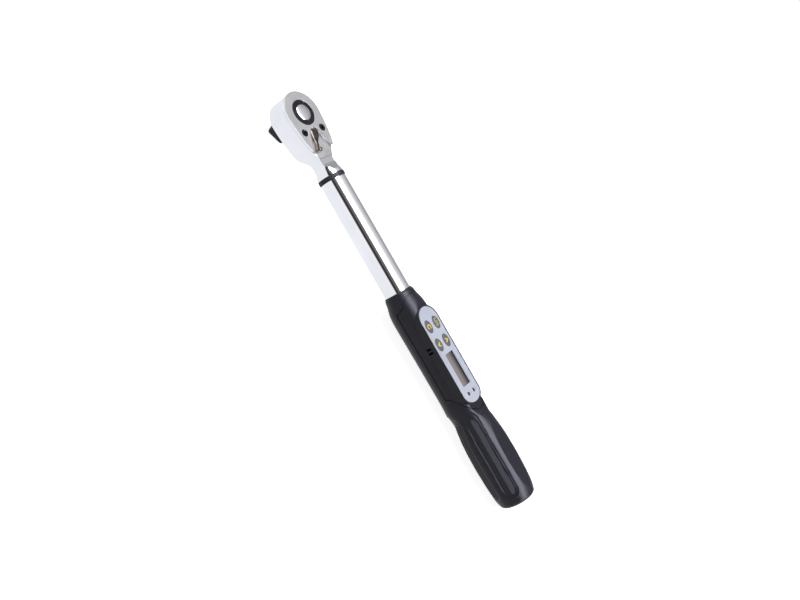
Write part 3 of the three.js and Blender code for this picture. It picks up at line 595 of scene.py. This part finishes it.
def drawn_in(loop, inset):
    """A loop moved to its left by inset, each corner along the mean of its sides' normals."""
    before, after = loop - np.roll(loop, 1, 0), np.roll(loop, -1, 0) - loop
    unit = [v / np.maximum(np.linalg.norm(v, axis=1, keepdims=True), 1e-9) for v in (before, after)]
    normal = np.stack([-(unit[0] + unit[1])[:, 1], (unit[0] + unit[1])[:, 0]], 1)
    size = np.maximum(np.linalg.norm(normal, axis=1, keepdims=True), 1e-9)
    cosine = np.maximum(size / 2, 0.5)
    return loop + normal / size * inset / cosine


# its blasted face, inside the polished edge
turning = np.sum(plate_edge[:, 0] * np.roll(plate_edge[:, 1], -1)
                 - plate_edge[:, 1] * np.roll(plate_edge[:, 0], -1))
face_holes = [circle(12.6, 120), *[circle(3.7, 48) + p for p in screw_at]]
fit(shape("head_cover_face", plate(drawn_in(plate_edge, 0.12 * np.sign(turning)), face_holes,
                                   FACE_Z - 0.05, FACE_Z + 0.03), 25),
    satin_plate, "wrench", "plate")

for k, p in enumerate(screw_at):
    top = FACE_Z - 0.15
    levels = [(circle(1.6), -1.1), (circle(1.6), DECK_Z + 0.4), (circle(3.4), DECK_Z + 0.4),
              (circle(3.4), top - 0.25), (circle(3.2), top), (hexagon(1.95), top),
              (hexagon(1.85), top - 1.5)]
    fit(shape(f"plate_screw_{k + 1}", loft(stack([(o + p, z) for o, z in levels]))),
        blacked_steel, "wrench", "black_steel", f"cover_screw_{k + 1}")

# ---------- drive: ring, button, ball and cap ----------
fit(finish_with(shape("bearing_ring", spun_z([
    (8.15, DECK_Z + 0.1), (12.15, DECK_Z + 0.1), (12.15, FACE_Z - 0.25), (11.9, FACE_Z),
    (8.4, FACE_Z), (8.15, FACE_Z - 0.25)], closed=True, n=120))),
    blacked_steel, "drive", "black_steel", "gear_collar")

stem_low, dome_top = heights("release_button")
ball_low, ball_high = span("detent_ball")
ball_z = sum(heights("detent_ball")) / 2
SPRING_ROOM = 10.7  # a pocket under the button clears its spring
dome = [(7.7 * math.cos(t), FACE_Z + 0.2 + (dome_top - FACE_Z - 0.2) * math.sin(t))
        for t in np.linspace(0, math.pi / 2, 14)[:-1]]
fit(shape("release_dome", spun_z([
    (1.9, stem_low), (1.9, ball_z + 0.7), (1.1, ball_z + 1.7), (1.1, ball_z + 4.7),
    (2.1, ball_z + 5.6), (2.1, SPRING_ROOM), (4.1, SPRING_ROOM), (4.2, 7.9), (7.5, 7.9),
    (7.8, 8.2), (7.8, FACE_Z), *dome, (0.2, dome_top)], n=120), 30),
    polished_chrome, "release", "chrome", "release_button")

centre = (ball_low + ball_high)[:2] / 2
radius = (ball_high[2] - ball_low[2]) / 2
ball = [(radius * math.cos(t), ball_z + radius * math.sin(t))
        for t in np.linspace(-1.5, 1.5, 25)]
fit(shape("catch_ball", spun_z(ball, at=centre, n=48), 60), turned_steel, "ball", "steel",
    "detent_ball")

cap_end, cap_top = heights("drive_cap")
cap_levels = [(13.6, 1.6, cap_end + 2), (14, 1.6, cap_end + 2.3), (14, 1.6, cap_top - 0.3),
              (14.5, 1.7, cap_top), (16.5, 2.2, cap_top), (17, 2.3, cap_top - 0.4),
              (17, 2.3, cap_end + 2.2), (16.8, 2.3, cap_end + 1.3), (16.2, 2.4, cap_end + 0.7),
              (15, 2.6, cap_end + 0.35), (12, 2.6, cap_end + 0.14), (6, 1.6, cap_end)]
fit(shape("drive_cover", loft(stack([
    (turned(rounded_box(side / 2, side / 2, corner), DRIVE_TURN), z)
    for side, corner, z in cap_levels]))), soft_cap_rubber, "drive_cap", "rubber", "drive_cap")

# ---------- reversing lever ----------
LEVER_HALF = [[-4.5, 0], [-4.3, 1.6], [-3.6, 2.9], [-2.2, 4.1], [0, 4.6], [2.2, 4.5], [4.2, 4.0],
              [6.5, 3.1], [9, 2.2], [12, 1.8], [14, 1.95], [15.2, 2.3], [16.6, 2.45],
              [17.9, 1.95], [18.6, 1.1], [18.8, 0]]
LEVER_TOP = [[-4.5, 0.8], [-3.8, 2.0], [-2, 2.7], [0, 2.85], [3, 2.6], [6, 2.0], [10, 1.8],
             [13, 2.2], [15, 3.9], [16.5, 4.7], [17.8, 4.1], [18.6, 2.8], [18.8, 1.6]]
lever_low = heights("reverse_lever")[1] - 4.9


def lever_section(x):
    """Across the lever at x: a power curve of exponent 2.4, flat on the deck side."""
    a = np.linspace(0, 2 * np.pi, 48, endpoint=False)
    half, high = max(float(curve(LEVER_HALF, x)), 0.01), float(curve(LEVER_TOP, x))
    bulge = np.abs(np.cos(a)) ** (2 / 2.4) * np.sign(np.cos(a))
    lift = np.abs(np.sin(a)) ** (2 / 2.4) * np.sign(np.sin(a))
    ring = np.stack([np.full(48, x), half * bulge, lever_low + high / 2 * (1 + lift)], 1)
    ring[:, :2] = turned(ring[:, :2], LEVER_TURN) + [PIVOT_X, 0]
    return ring


lever_x = np.concatenate([-4.5 + 4.5 * (1 - np.cos(np.linspace(0.05, np.pi / 2, 14))),
                          np.linspace(0.5, 14.5, 29),
                          14.5 + 4.3 * np.sin(np.linspace(0.05, np.pi / 2 - 0.02, 20))])
shaft = spun_z([(2.7, -7.7), (2.7, lever_low + 0.6)], at=(PIVOT_X, 0), n=40)
fit(shape("shift_lever", merged(loft([lever_section(x) for x in lever_x]), shaft), 50),
    tumbled_nickel, "lever", "chrome", "reverse_lever")

# ---------- collar and tube ----------
fit(shape("collar_band", spun_x([
    (COLLAR[0] + 0.05, TUBE_R - 1.4), (COLLAR[0] + 0.05, TUBE_R + 0.05),
    (COLLAR[0] + 0.5, TUBE_R + 0.3), (COLLAR[1] - 0.55, TUBE_R + 0.3),
    (COLLAR[1] - 0.1, TUBE_R + 0.05), (COLLAR[1] - 0.1, TUBE_R - 1.4)], n=180)),
    sealing_rubber, "wrench", "rubber", "collar_ring")
tube_bore = TUBE_R - 1.6
fit(shape("drawn_tube", spun_x([
    (TUBE_X[0], tube_bore), (TUBE_X[0], TUBE_R - 0.3), (TUBE_X[0] + 0.3, TUBE_R),
    *[(x, TUBE_R) for x in np.linspace(TUBE_X[0] + 6, TUBE_X[1] - 1, 14)],
    (TUBE_X[1], TUBE_R), (TUBE_X[1], tube_bore)], n=240)),
    ground_tube_chrome, "wrench", "chrome", "tube")
fit(shape("nose_seal", spun_x([
    (NOSE_X - 1.5, TUBE_R + 0.02), (NOSE_X - 1.5, TUBE_R + 0.5), (NOSE_X - 1.1, TUBE_R + 0.85),
    (NOSE_X - 0.1, TUBE_R + 0.85), (NOSE_X - 0.05, TUBE_R + 0.22), (NOSE_X + 1.2, TUBE_R + 0.22),
    (NOSE_X + 1.2, TUBE_R + 0.02)], n=180)),
    sealing_rubber, "wrench", "rubber", "tube_seal")

# ---------- handle ----------
HANDLE = [[NOSE_X, 13.5], [NOSE_X + 0.4, 14.0], [182.5, 14.3], [185.5, 14.75], [190.6, 16.1],
          [195.9, 17.1], [200, 17.4], [206, 17.45], [222, 17.3], [245, 17.1], [270, 17.0],
          [286, 16.95], [292.5, 17.5], [297.5, 17.7], [303, 17.3], [308.5, 17.25], [314, 18.0],
          [319.3, 18.65], [324.7, 19.25], [330, 19.65], [335.4, 19.95], [340.8, 20.1],
          [351.5, 20.25], [362.3, 20.0], [367.6, 19.85], [373, 19.6], [378.4, 19.2],
          [383.7, 18.6], [SPLIT_X, 17.6]]
CROWN = [[NOSE_X, 22], [192, 17.6], [198, 16.4], [204, 15.5], [280, 15.0], [292, 15.0],
         [297, 15.2], [304, 16.5], [309, 18.2], [314, 19.8], [330, 26]]
FRONT_SEAM = [[0, 184], [12, 184.3], [26.5, 184.9], [42.8, 187.6], [55.3, 190.4], [68.1, 193.5],
              [80, 195.3], [90, 195.8]]
REAR_SEAM = [[0, 303.3], [9, 302.9], [22.8, 301.5], [35, 298.7], [46.5, 294.7], [57.8, 290.3],
             [69.5, 285.5], [78.6, 282.9], [90, 282]]
SEAM_FORE, SEAM_AFT = FRONT_SEAM[-1][1], REAR_SEAM[-1][1]  # where the seams meet the sides
AFT_FADE = 24  # how far the rear seam bends the rows behind it
FLAT_R = 18.6
SEAM_GAP = 0.42  # from a seam's middle to either skin
SKIN = 2.0
FACET = math.radians(19)  # an inset floor's half width, about the axis
INSET_RIM = (300.3, 385.2, 8.3)  # front, rear and half width
INSET_FLOOR = (306.7, 382.7, 6.25)


def rise(x):
    """How far the handle's axis is above the tube's."""
    return GRIP_RISE * ease(x, 286, 304)


def stadium(x, s, x0, x1, half):
    """Distance outside a round-ended slot between x0 and x1; s is the way round from its middle."""
    over = np.maximum(np.abs(x - (x0 + x1) / 2) - ((x1 - x0) / 2 - half), 0)
    return np.hypot(over, s) - half


def handle_radius(x, angle):
    """From the risen axis to the outside: the turned profile, pressed in at four insets whose
    floors are two flats that meet along their middle, and cut by the crown and two flats."""
    base = curve(HANDLE, x)
    r = base.copy()
    for middle in (60, -60, 120, -120):
        off = np.radians((angle - middle + 180) % 360 - 180)
        s = base * off
        near = np.abs(off) < 0.8
        outer = 0.5 * (1 - ease(stadium(x, s, *INSET_RIM), -0.7, 0.2))
        # the wall is steep on the side nearer the crown and gentle on the other
        spread = 0.42 + 1.2 * ease(s * np.sign(middle), 0, 4)
        inside = 1 - ease(stadium(x, s, *INSET_FLOOR), 0.12 - spread, 0.12)
        facet = (base - 0.5) * math.cos(FACET) / np.cos(np.minimum(np.abs(off), FACET) - FACET)
        pressed = (base - outer) * (1 - inside) + facet * inside
        r = np.where(near, np.minimum(r, pressed), r)
    up = np.cos(np.radians(angle))
    crown = (curve(CROWN, x) - rise(x)) / np.maximum(up, 1e-3)
    flat = FLAT_R / np.maximum(np.abs(up), 1e-3)
    r = np.where(up > 0.05, soft_min(r, crown, 46.0), r)
    return np.where((np.abs(up) > 0.5) & (x > 312), soft_min(r, flat, 500.0), r)


def handle_point(x, angle, drop=0.0):
    """The handle's skin at x and an angle from the top in degrees, or drop below it."""
    r = handle_radius(x, angle) - drop
    a = np.radians(angle)
    return np.stack([x, r * np.sin(a), rise(x) + r * np.cos(a)], -1)


# the body is three skins that share their edges: before the front seam, behind the rear seam, and
# the underside from end to end
lip = math.degrees(SEAM_GAP / 17.4)
front_rows = np.concatenate([[NOSE_X, NOSE_X + 0.15, NOSE_X + 0.4],
                             np.linspace(NOSE_X + 1.2, SEAM_FORE, 11)])
rear_rows = np.concatenate([np.linspace(SEAM_AFT, 299, 12), np.linspace(300, SPLIT_X, 116)])
middle_rows = np.linspace(SEAM_FORE, SEAM_AFT, 32)
under_angle = np.linspace(90 + lip, 270 - lip, 125)
over_angle = np.linspace(-90 - lip, 90 + lip, 125)
reach = np.abs(np.clip(over_angle, -90, 90))
front_edge = curve(FRONT_SEAM, reach) - SEAM_GAP
rear_edge = curve(REAR_SEAM, reach) + SEAM_GAP
fore_share = (front_rows - NOSE_X) / (SEAM_FORE - NOSE_X)
aft_share = np.maximum(1 - (rear_rows - SEAM_AFT) / AFT_FADE, 0)
fore_x = front_rows[:, None] + (front_edge - SEAM_FORE) * fore_share[:, None]
aft_x = rear_rows[:, None] + (rear_edge - SEAM_AFT) * aft_share[:, None]
fore_side = front_rows - SEAM_GAP * fore_share
aft_side = rear_rows + SEAM_GAP * aft_share
under_rows = np.concatenate([fore_side, middle_rows[1:-1], aft_side])
body_parts = [sheet(handle_point(fore_x, np.broadcast_to(over_angle, fore_x.shape))),
              sheet(handle_point(aft_x, np.broadcast_to(over_angle, aft_x.shape))),
              sheet(handle_point(*np.meshgrid(under_rows, under_angle, indexing="ij")))]
body = shape("handle_shell", merged(*body_parts), 30, 0.02)
corner_x = np.array([v.co.x * 1000 for v in body.data.vertices])
finish_with(body, thickness=SKIN, group=corner_x < NOSE_X + 6)
SCREW_AT = [(x, y) for x in (211.4, 294.6) for y in (9.5, -9.5)]
wells = [spun_z([(2.8, -9), (2.8, -22)], at=p, n=48) for p in SCREW_AT]
fit(carved(body, wells, 30), moulded_nylon, "wrench", "black_plastic", "handle_body")


def well_ring(at, r, lift):
    """A ring round a screw on the handle's underside, lifted into the wall."""
    px, py = (circle(r, 48) + at).T
    return np.column_stack([px, py, lift - np.sqrt(curve(HANDLE, px) ** 2 - py ** 2)])


def flat_ring(at, r, z):
    """A level ring round a screw."""
    return np.column_stack([circle(r, 48) + at, np.full(48, z)])


# cups that line the screws' wells, and the screws at their ends
for k, at in enumerate(SCREW_AT):
    fit(shape(f"screw_well_{k + 1}", loft([
        flat_ring(at, 2.78, -10.35), well_ring(at, 2.78, 0.35), well_ring(at, 3.3, 0.6),
        flat_ring(at, 3.3, -9.9)])), moulded_nylon, "wrench", "black_plastic")
    fit(shape(f"well_screw_{k + 1}", loft(stack([(o + at, z) for o, z in [
        (circle(1.3), -6), (circle(1.3), -10.4), (circle(2.45), -10.4), (circle(2.45), -11.7),
        (circle(2.2), -12.15), (hexagon(1.35), -12.15), (hexagon(1.25), -11.2)]]))),
        turned_steel, "wrench", "steel", f"case_screw_{k + 1}")

# the front cover between its seams
cover_angle = np.linspace(-90 + lip, 90 - lip, 181)
reach = np.abs(cover_angle)
front_edge, rear_edge = curve(FRONT_SEAM, reach) + SEAM_GAP, curve(REAR_SEAM, reach) - SEAM_GAP
share = np.concatenate([np.linspace(0, 0.12, 14), np.linspace(0.12, 0.86, 60)[1:],
                        np.linspace(0.86, 1, 24)[1:]])[:, None]
cover_x = front_edge + share * (rear_edge - front_edge)
cover_skin = handle_point(cover_x, np.broadcast_to(cover_angle, cover_x.shape))
cover = shape("panel_cover", sheet(cover_skin), 30)
finish_with(cover, thickness=SKIN)

# the sounder's two slots, cut square to the skin on the near side
SLOT_AT, SLOT_TURN = (235.5, 239.2), math.radians(54.5)
slot_levels = [(rounded_box(0.95, 2.3, 0.5, 48), z) for z in (10, 26)]
slot_points, slot_faces = loft(stack(slot_levels))
slot_turn = np.array(Matrix.Rotation(SLOT_TURN, 3, "X"))
slots = [(slot_points @ slot_turn.T + [x, 0, 0], slot_faces) for x in SLOT_AT]
pod_room = loft(stack([(panel_outline(-0.8), z) for z in (5, 22)]))
fit(carved(cover, [*slots, pod_room], 30), moulded_nylon, "wrench", "black_plastic", "front_cover")


def seam_lip(seam):
    """A strip under a seam that shuts it from inside, as a tongued joint does: each point of the
    seam carried 0.7 mm to either side and 1.4 to 1.9 mm under the skin."""
    angle = np.linspace(-88, 88, 121)
    middle = curve(seam, np.abs(angle))
    corners = ((-0.7, 1.4), (0.7, 1.4), (0.7, 1.9), (-0.7, 1.9))
    return loft(np.stack([handle_point(middle + shift, angle, drop) for shift, drop in corners], 1))


for k, seam in enumerate((FRONT_SEAM, REAR_SEAM)):
    fit(shape(f"seam_lip_{k + 1}", seam_lip(seam), 40), moulded_nylon, "wrench", "black_plastic")

# the pod that carries the panel: a drawn-in box with a rounded top, a bed for the film and a
# window through its floor
WINDOW_HALF = (16.3, 5.95)
window_at = np.array([262.8, 0])
WINDOW_LOW = PANEL_TOP - 1.35
POD_FOOT = 7.2  # sunk in the cover all round
POD_COUNT = 240
opening = rounded_box(*WINDOW_HALF, 0.25, POD_COUNT)
opening = np.roll(opening, -int(POD_COUNT * 7 / 8), axis=0) + window_at  # in step with the panel
pod_outside = [(2.3, POD_FOOT), (1.85, 11.5), (1.6, POD_TOP - 1.1), (1.48, POD_TOP - 0.4),
               (1.2, POD_TOP - 0.08), (0.85, POD_TOP), (0.4, POD_TOP - 0.1), (0.15, POD_TOP - 0.3),
               (0.12, BED_Z)]
pod_inside = [(-2, WINDOW_LOW), (-0.6, WINDOW_LOW - 0.8), (-0.6, POD_FOOT)]
pod_levels = [*[(panel_outline(grow, POD_COUNT), z) for grow, z in pod_outside],
              (opening, BED_Z), (opening, WINDOW_LOW),
              *[(panel_outline(grow, POD_COUNT), z) for grow, z in pod_inside]]
fit(carved(shape("panel_pod", loft(stack(pod_levels), closed=True), 28), slots, 28),
    moulded_nylon, "wrench", "black_plastic")

# ---------- panel ----------
KEYS = {"key_clear": (218.0, -6.05), "key_down": (236.3, -6.05),
        "key_units": (218.0, 6.05), "key_up": (236.3, 6.05)}
LAMPS = [(286.7, -4.3), (286.7, 4.3)]
KEY_A, KEY_B = 6.3, 4.15  # half the key's length and width
window_edge = rounded_box(*WINDOW_HALF, 0.3, 32) + window_at
film_holes = [*[ellipse(KEY_A + 0.12, KEY_B + 0.12, 72) + p for p in KEYS.values()],
              *[circle(1.95, 40) + p for p in LAMPS], window_edge]
film = shape("panel_film", plate(panel_outline(0), film_holes, BED_Z + 0.2, PANEL_TOP), 30)
fit(finish_with(film, bevel=0.06, segments=1), velvet_film, "wrench", "panel", "panel_overlay")

for name, p in KEYS.items():
    top = heights(name)[1]
    levels = [(0, BED_Z + 0.55), (0, PANEL_TOP - 0.05), (-0.12, top - 0.12), (-0.35, top - 0.02),
              (-0.9, top), (-2.4, top + 0.02)]
    fit(shape(f"{name}_cap", loft(stack([
        (ellipse(KEY_A + g, KEY_B + g) + p, z) for g, z in levels])), 40),
        silicone_key, name, "key", name)


def ink(name, surface, key):
    """A printed legend that rides on its key."""
    fit(shape(f"legend_{name}", surface), yellow_ink, key, "key")


def lettering(text, height, middle, low, weight):
    """Letters as a thin slab centred on a point, their feet towards -Y; weight thickens them."""
    face = bpy.data.curves.new(text, "FONT")
    face.body = text
    face.size = 1
    face.offset = weight
    face.extrude = 0.5
    face.resolution_u = 4
    made = placed("letters", face)
    bpy.context.view_layer.update()
    mesh = bpy.data.meshes.new_from_object(made.evaluated_get(
        bpy.context.evaluated_depsgraph_get()))
    points = np.array([v.co for v in mesh.vertices])
    faces = [list(f.vertices) for f in mesh.polygons]
    bpy.data.objects.remove(made)
    low_corner, high_corner = points.min(0), points.max(0)
    points -= (low_corner + high_corner) / 2
    points[:, :2] *= height / (high_corner - low_corner)[1]
    points[:, 2] = np.where(points[:, 2] > 0, low + 0.07, low - 0.05)
    points[:, :2] += middle
    return points, faces


def chevron(middle, way, low):
    """A bent bar whose point is towards way along Y."""
    half, deep, thick = 2.55, 3.5, 1.5
    inner, tip, crotch = half - thick * 0.75, thick * 0.45, -deep / 2 + thick * 1.1
    loop = np.array([(-half, deep / 2), (-inner, deep / 2), (0, crotch), (inner, deep / 2),
                     (half, deep / 2), (tip, -deep / 2), (-tip, -deep / 2)]) * [1, -way]
    if way > 0:
        loop = loop[::-1]
    return plate(loop + middle, [], low - 0.05, low + 0.07)


key_top = heights("key_clear")[1] + 0.02
ink("clear", lettering("C", 5.0, KEYS["key_clear"], key_top, 0.04), "key_clear")
ink("units", lettering("U/S", 3.7, KEYS["key_units"], key_top, -0.005), "key_units")
ink("down", chevron(KEYS["key_down"], -1, key_top), "key_down")
ink("up", chevron(KEYS["key_up"], 1, key_top), "key_up")

for k, p in enumerate(LAMPS):
    lens_shape = [(1.75, BED_Z + 0.1), (1.75, PANEL_TOP - 0.5), (1.6, PANEL_TOP - 0.3),
                  (1.1, PANEL_TOP - 0.12), (0.4, PANEL_TOP - 0.05)]
    fit(shape(f"lamp_{k + 1}", spun_z(lens_shape, at=p, n=40), 40), lens, "wrench", "led",
        f"led_{k + 1}")

screen = rounded_box(WINDOW_HALF[0] + 1.8, WINDOW_HALF[1] + 1.4, 0.4, 48) + window_at
fit(finish_with(shape("display_glass", plate(screen, [], WINDOW_LOW - 1.1, WINDOW_LOW - 0.02)),
                bevel=0.1), lcd, "wrench", "glass", "display_window")

# ---------- battery cap ----------
cap_x = SPLIT_X + 0.25
plug_x = span("battery_cap")[0][0]
cap_profile = [(cap_x - 4.6, 10.0), (cap_x - 4.6, 12.6), (plug_x, 12.6), (plug_x, 15.0),
               (cap_x - 3.6, 15.0), (cap_x - 3.6, 13.8), (cap_x - 1.5, 13.8), (cap_x - 1.5, 15.0),
               (cap_x, 15.0), (cap_x, 17.4), (cap_x + 0.6, 17.15)]
reach_x = END_X - cap_x - 0.6
cap_profile += [(cap_x + 0.6 + reach_x * math.sin(t), 7.0 + 10.15 * math.cos(t) ** 0.85)
                for t in np.linspace(0.12, math.pi / 2 - 0.03, 16)]
cap_profile += [(END_X, 6.4)]
battery = shape("battery_lid", spun_x(cap_profile, closed=False, lift=GRIP_RISE, n=160), 30)
coin = rounded_box(8, 1.1, 1.0, 48)
coin_slot = loft([np.column_stack([np.full(48, x), coin[:, 0], coin[:, 1] + GRIP_RISE])
                  for x in (END_X - 1.8, END_X + 2)])
fit(finish_with(carved(battery, [coin_slot], 30), bevel=0.15), moulded_nylon, "battery_cap",
    "black_plastic", "battery_cap")
seal = [(cap_x - 2.55 + 0.72 * math.cos(t), 14.5 + 0.6 * math.sin(t))
        for t in np.linspace(0, 2 * math.pi, 16, endpoint=False)]
fit(shape("lid_seal", spun_x(seal, lift=GRIP_RISE), 60), sealing_rubber, "cap_seal", "rubber",
    "cap_seal")

# ---------- CAD nodes that stay ----------
KEPT = {
    "drive_gear": polished_chrome, "head_pin": turned_steel, "tube_pin": turned_steel,
    "release_spring": turned_steel, "pawl": turned_steel, "pawl_plunger": pressed_brass,
    "torque_beam": turned_steel, "gauge_1": gauge_foil, "gauge_2": gauge_foil,
    "gauge_cable": wire_jacket, "power_cable": wire_jacket, "display_module": solder_mask,
    "circuit_board": solder_mask, "contact_board": solder_mask, "buzzer": moulded_nylon,
    "cell_1": cell_wrap, "cell_2": cell_wrap, "cell_spring_1": pressed_brass,
    "cell_spring_2": pressed_brass, "cap_contact": pressed_brass,
    **{f"switch_{k}": moulded_nylon for k in (1, 2, 3, 4)},
}
for name, material in KEPT.items():
    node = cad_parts[name]
    node.data.materials.clear()
    node.data.materials.append(material)

# ---------- camera ----------
toward = Vector((0, -0.772, 0.636)).normalized()
across = Vector((0, 0.636, 0.772)).normalized()
ahead = Vector((1, 0, 0))
right = (across * 0.866 + ahead * 0.5).normalized()  # the wrench runs down at 60 degrees
aim = Vector((185.4, 0, AXIS_Z)) - across * 1.5
eye = Vector((159.4, 0, AXIS_Z)) + toward * 907
back = (eye - aim).normalized()
side = (right - back * right.dot(back)).normalized()
camera = bpy.data.cameras.new("view")
camera.lens, camera.sensor_width = 45.9, 36
seat = placed("view", camera)
seat.matrix_world = Matrix.Translation(eye / 1000) @ Matrix(
    (side, back.cross(side), back)).transposed().to_4x4()
bpy.context.scene.camera = seat

# ---------- floor ----------
low_a = np.array([7, cap_end + AXIS_Z])
low_b = np.array([384, AXIS_Z + GRIP_RISE - FLAT_R])
slope = (low_b[1] - low_a[1]) / (low_b[0] - low_a[0])


def floor_z(x):
    """The floor touches the drive's cap and the grip's lower flat."""
    return low_a[1] - 0.05 + slope * (x - low_a[0])


def seen_straight(tree, path):
    """1 for a ray from the camera, directly or through glass, otherwise 0."""
    return add(tree, "Math", {"operation": "MAXIMUM"}, {
        0: path.outputs["Is Camera Ray"], 1: path.outputs["Is Transmission Ray"]}).outputs[0]


# White to the camera but for the wrench's shadow, and evenly bright in the chrome's reflections.
floor_material = bpy.data.materials.new("pale_floor")
floor_material.use_nodes = True
tree = floor_material.node_tree
tree.nodes.clear()
matt = add(tree, "BsdfDiffuse", None, {"Color": linear("#F2F2F3")})
path = add(tree, "LightPath")
lift = add(tree, "Math", {"operation": "MULTIPLY"}, {0: seen_straight(tree, path), 1: 0.8})
glow = add(tree, "Emission", None, {"Color": (1, 1, 1, 1), "Strength": lift.outputs[0]})
both = add(tree, "AddShader", None, {0: matt.outputs[0], 1: glow.outputs[0]})
sheen = add(tree, "Emission", None, {"Color": (0.985, 0.995, 1.03, 1)})
either = add(tree, "MixShader", None, {
    0: path.outputs["Is Glossy Ray"], 1: both.outputs[0], 2: sheen.outputs[0]})
clear = add(tree, "BsdfTransparent")  # from below, the underside shows
facing = add(tree, "NewGeometry").outputs["Backfacing"]
sided = add(tree, "MixShader", None, {0: facing, 1: either.outputs[0], 2: clear.outputs[0]})
add(tree, "OutputMaterial", None, {"Surface": sided.outputs[0]})
FLOOR = 3.0  # metres past the wrench on every side
corners = [(x, y, floor_z(x * 1000) / 1000) for x, y in
           ((-FLOOR, -FLOOR), (FLOOR + 0.4, -FLOOR), (FLOOR + 0.4, FLOOR), (-FLOOR, FLOOR))]
mesh = bpy.data.meshes.new("floor")
mesh.from_pydata(corners, [], [(0, 1, 2, 3)])
floor = placed("floor", mesh)
floor.data.materials.append(floor_material)

# ---------- world and lamps ----------
world = bpy.data.worlds.new("studio")
world.use_nodes = True
bpy.context.scene.world = world
tree = world.node_tree
tree.nodes.clear()
way = add(tree, "TexCoord").outputs["Generated"]


def along_way(vector):
    """How far the way looked in points along a vector."""
    return add(tree, "VectorMath", {"operation": "DOT_PRODUCT"},
               {0: way, 1: tuple(vector)}).outputs["Value"]


# Brightness round the wrench's length, in degrees from square to the panel's near edge: a pale
# floor, a dark gap, a bright softbox overhead, then a greyer room behind. Only glossy rays see it.
turn = add(tree, "Math", {"operation": "ARCTAN2"},
           {0: along_way(across), 1: along_way(toward)}).outputs[0]
around = add(tree, "MapRange", None, {
    "Value": turn, "From Min": -math.pi, "From Max": math.pi, "To Min": 0, "To Max": 1})
studio = add(tree, "ValToRGB", None, {"Fac": around.outputs[0]})
ramp = studio.color_ramp
SOFTBOX = 15.0
stops = [(-180, 0.95), (-30, 1.0), (-17, 1.0), (-14, 0.8), (-10, 0.06), (-5, 0.032),
         (3, 0.032), (7, 0.09), (10, 0.15), (20, 0.13), (24, 0.4), (30, 1.0), (34, SOFTBOX),
         (58, SOFTBOX), (64, 1.1), (80, 0.85), (96, 0.62), (118, 0.40), (142, 0.38), (165, 0.85)]
for k in (0, 1):
    ramp.elements[k].position, ramp.elements[k].color = k, (0.95, 0.96, 0.99, 1)
for degrees, level in stops[1:]:
    element = ramp.elements.new((degrees + 180) / 360)
    tint = (1, 1.005, 1.03) if level > 0.25 else (1.1, 1, 0.97)
    tint = (0.93, 0.95, 1.06) if level == SOFTBOX else tint
    element.color = (*(level * t for t in tint), 1)
path = add(tree, "LightPath")
glossy = add(tree, "Mix", {"data_type": "RGBA"}, {
    0: path.outputs["Is Glossy Ray"], 6: (0.2, 0.2, 0.205, 1), 7: studio.outputs["Color"]})
final = add(tree, "Mix", {"data_type": "RGBA"}, {
    0: seen_straight(tree, path), 6: glossy.outputs[2], 7: (1, 1, 1, 1)})
sky = add(tree, "Background", None, {"Color": final.outputs[2], "Strength": 1.0})
add(tree, "OutputWorld", None, {"Surface": sky.outputs[0]})


def softbox(name, place, target, wide, high, power):
    """A rectangular lamp turned to a target: sizes in metres, power in watts."""
    light = bpy.data.lights.new(name, "AREA")
    light.shape = "RECTANGLE"
    light.size, light.size_y, light.energy = wide, high, power
    made = placed(name, light)
    made.location = Vector(place)
    made.rotation_mode = "QUATERNION"
    made.rotation_quaternion = (Vector(target) - Vector(place)).to_track_quat("-Z", "Y")
    made.visible_glossy = False  # reflections come from the world alone


middle = (0.19, 0, 0.025)
softbox("overhead", (0.19, 0.05, 0.9), middle, 1.1, 0.35, 6.2)
softbox("front_fill", (0.05, -1.0, 0.7), middle, 0.9, 0.6, 2.5)

scene = bpy.context.scene
scene.view_settings.view_transform = "Standard"
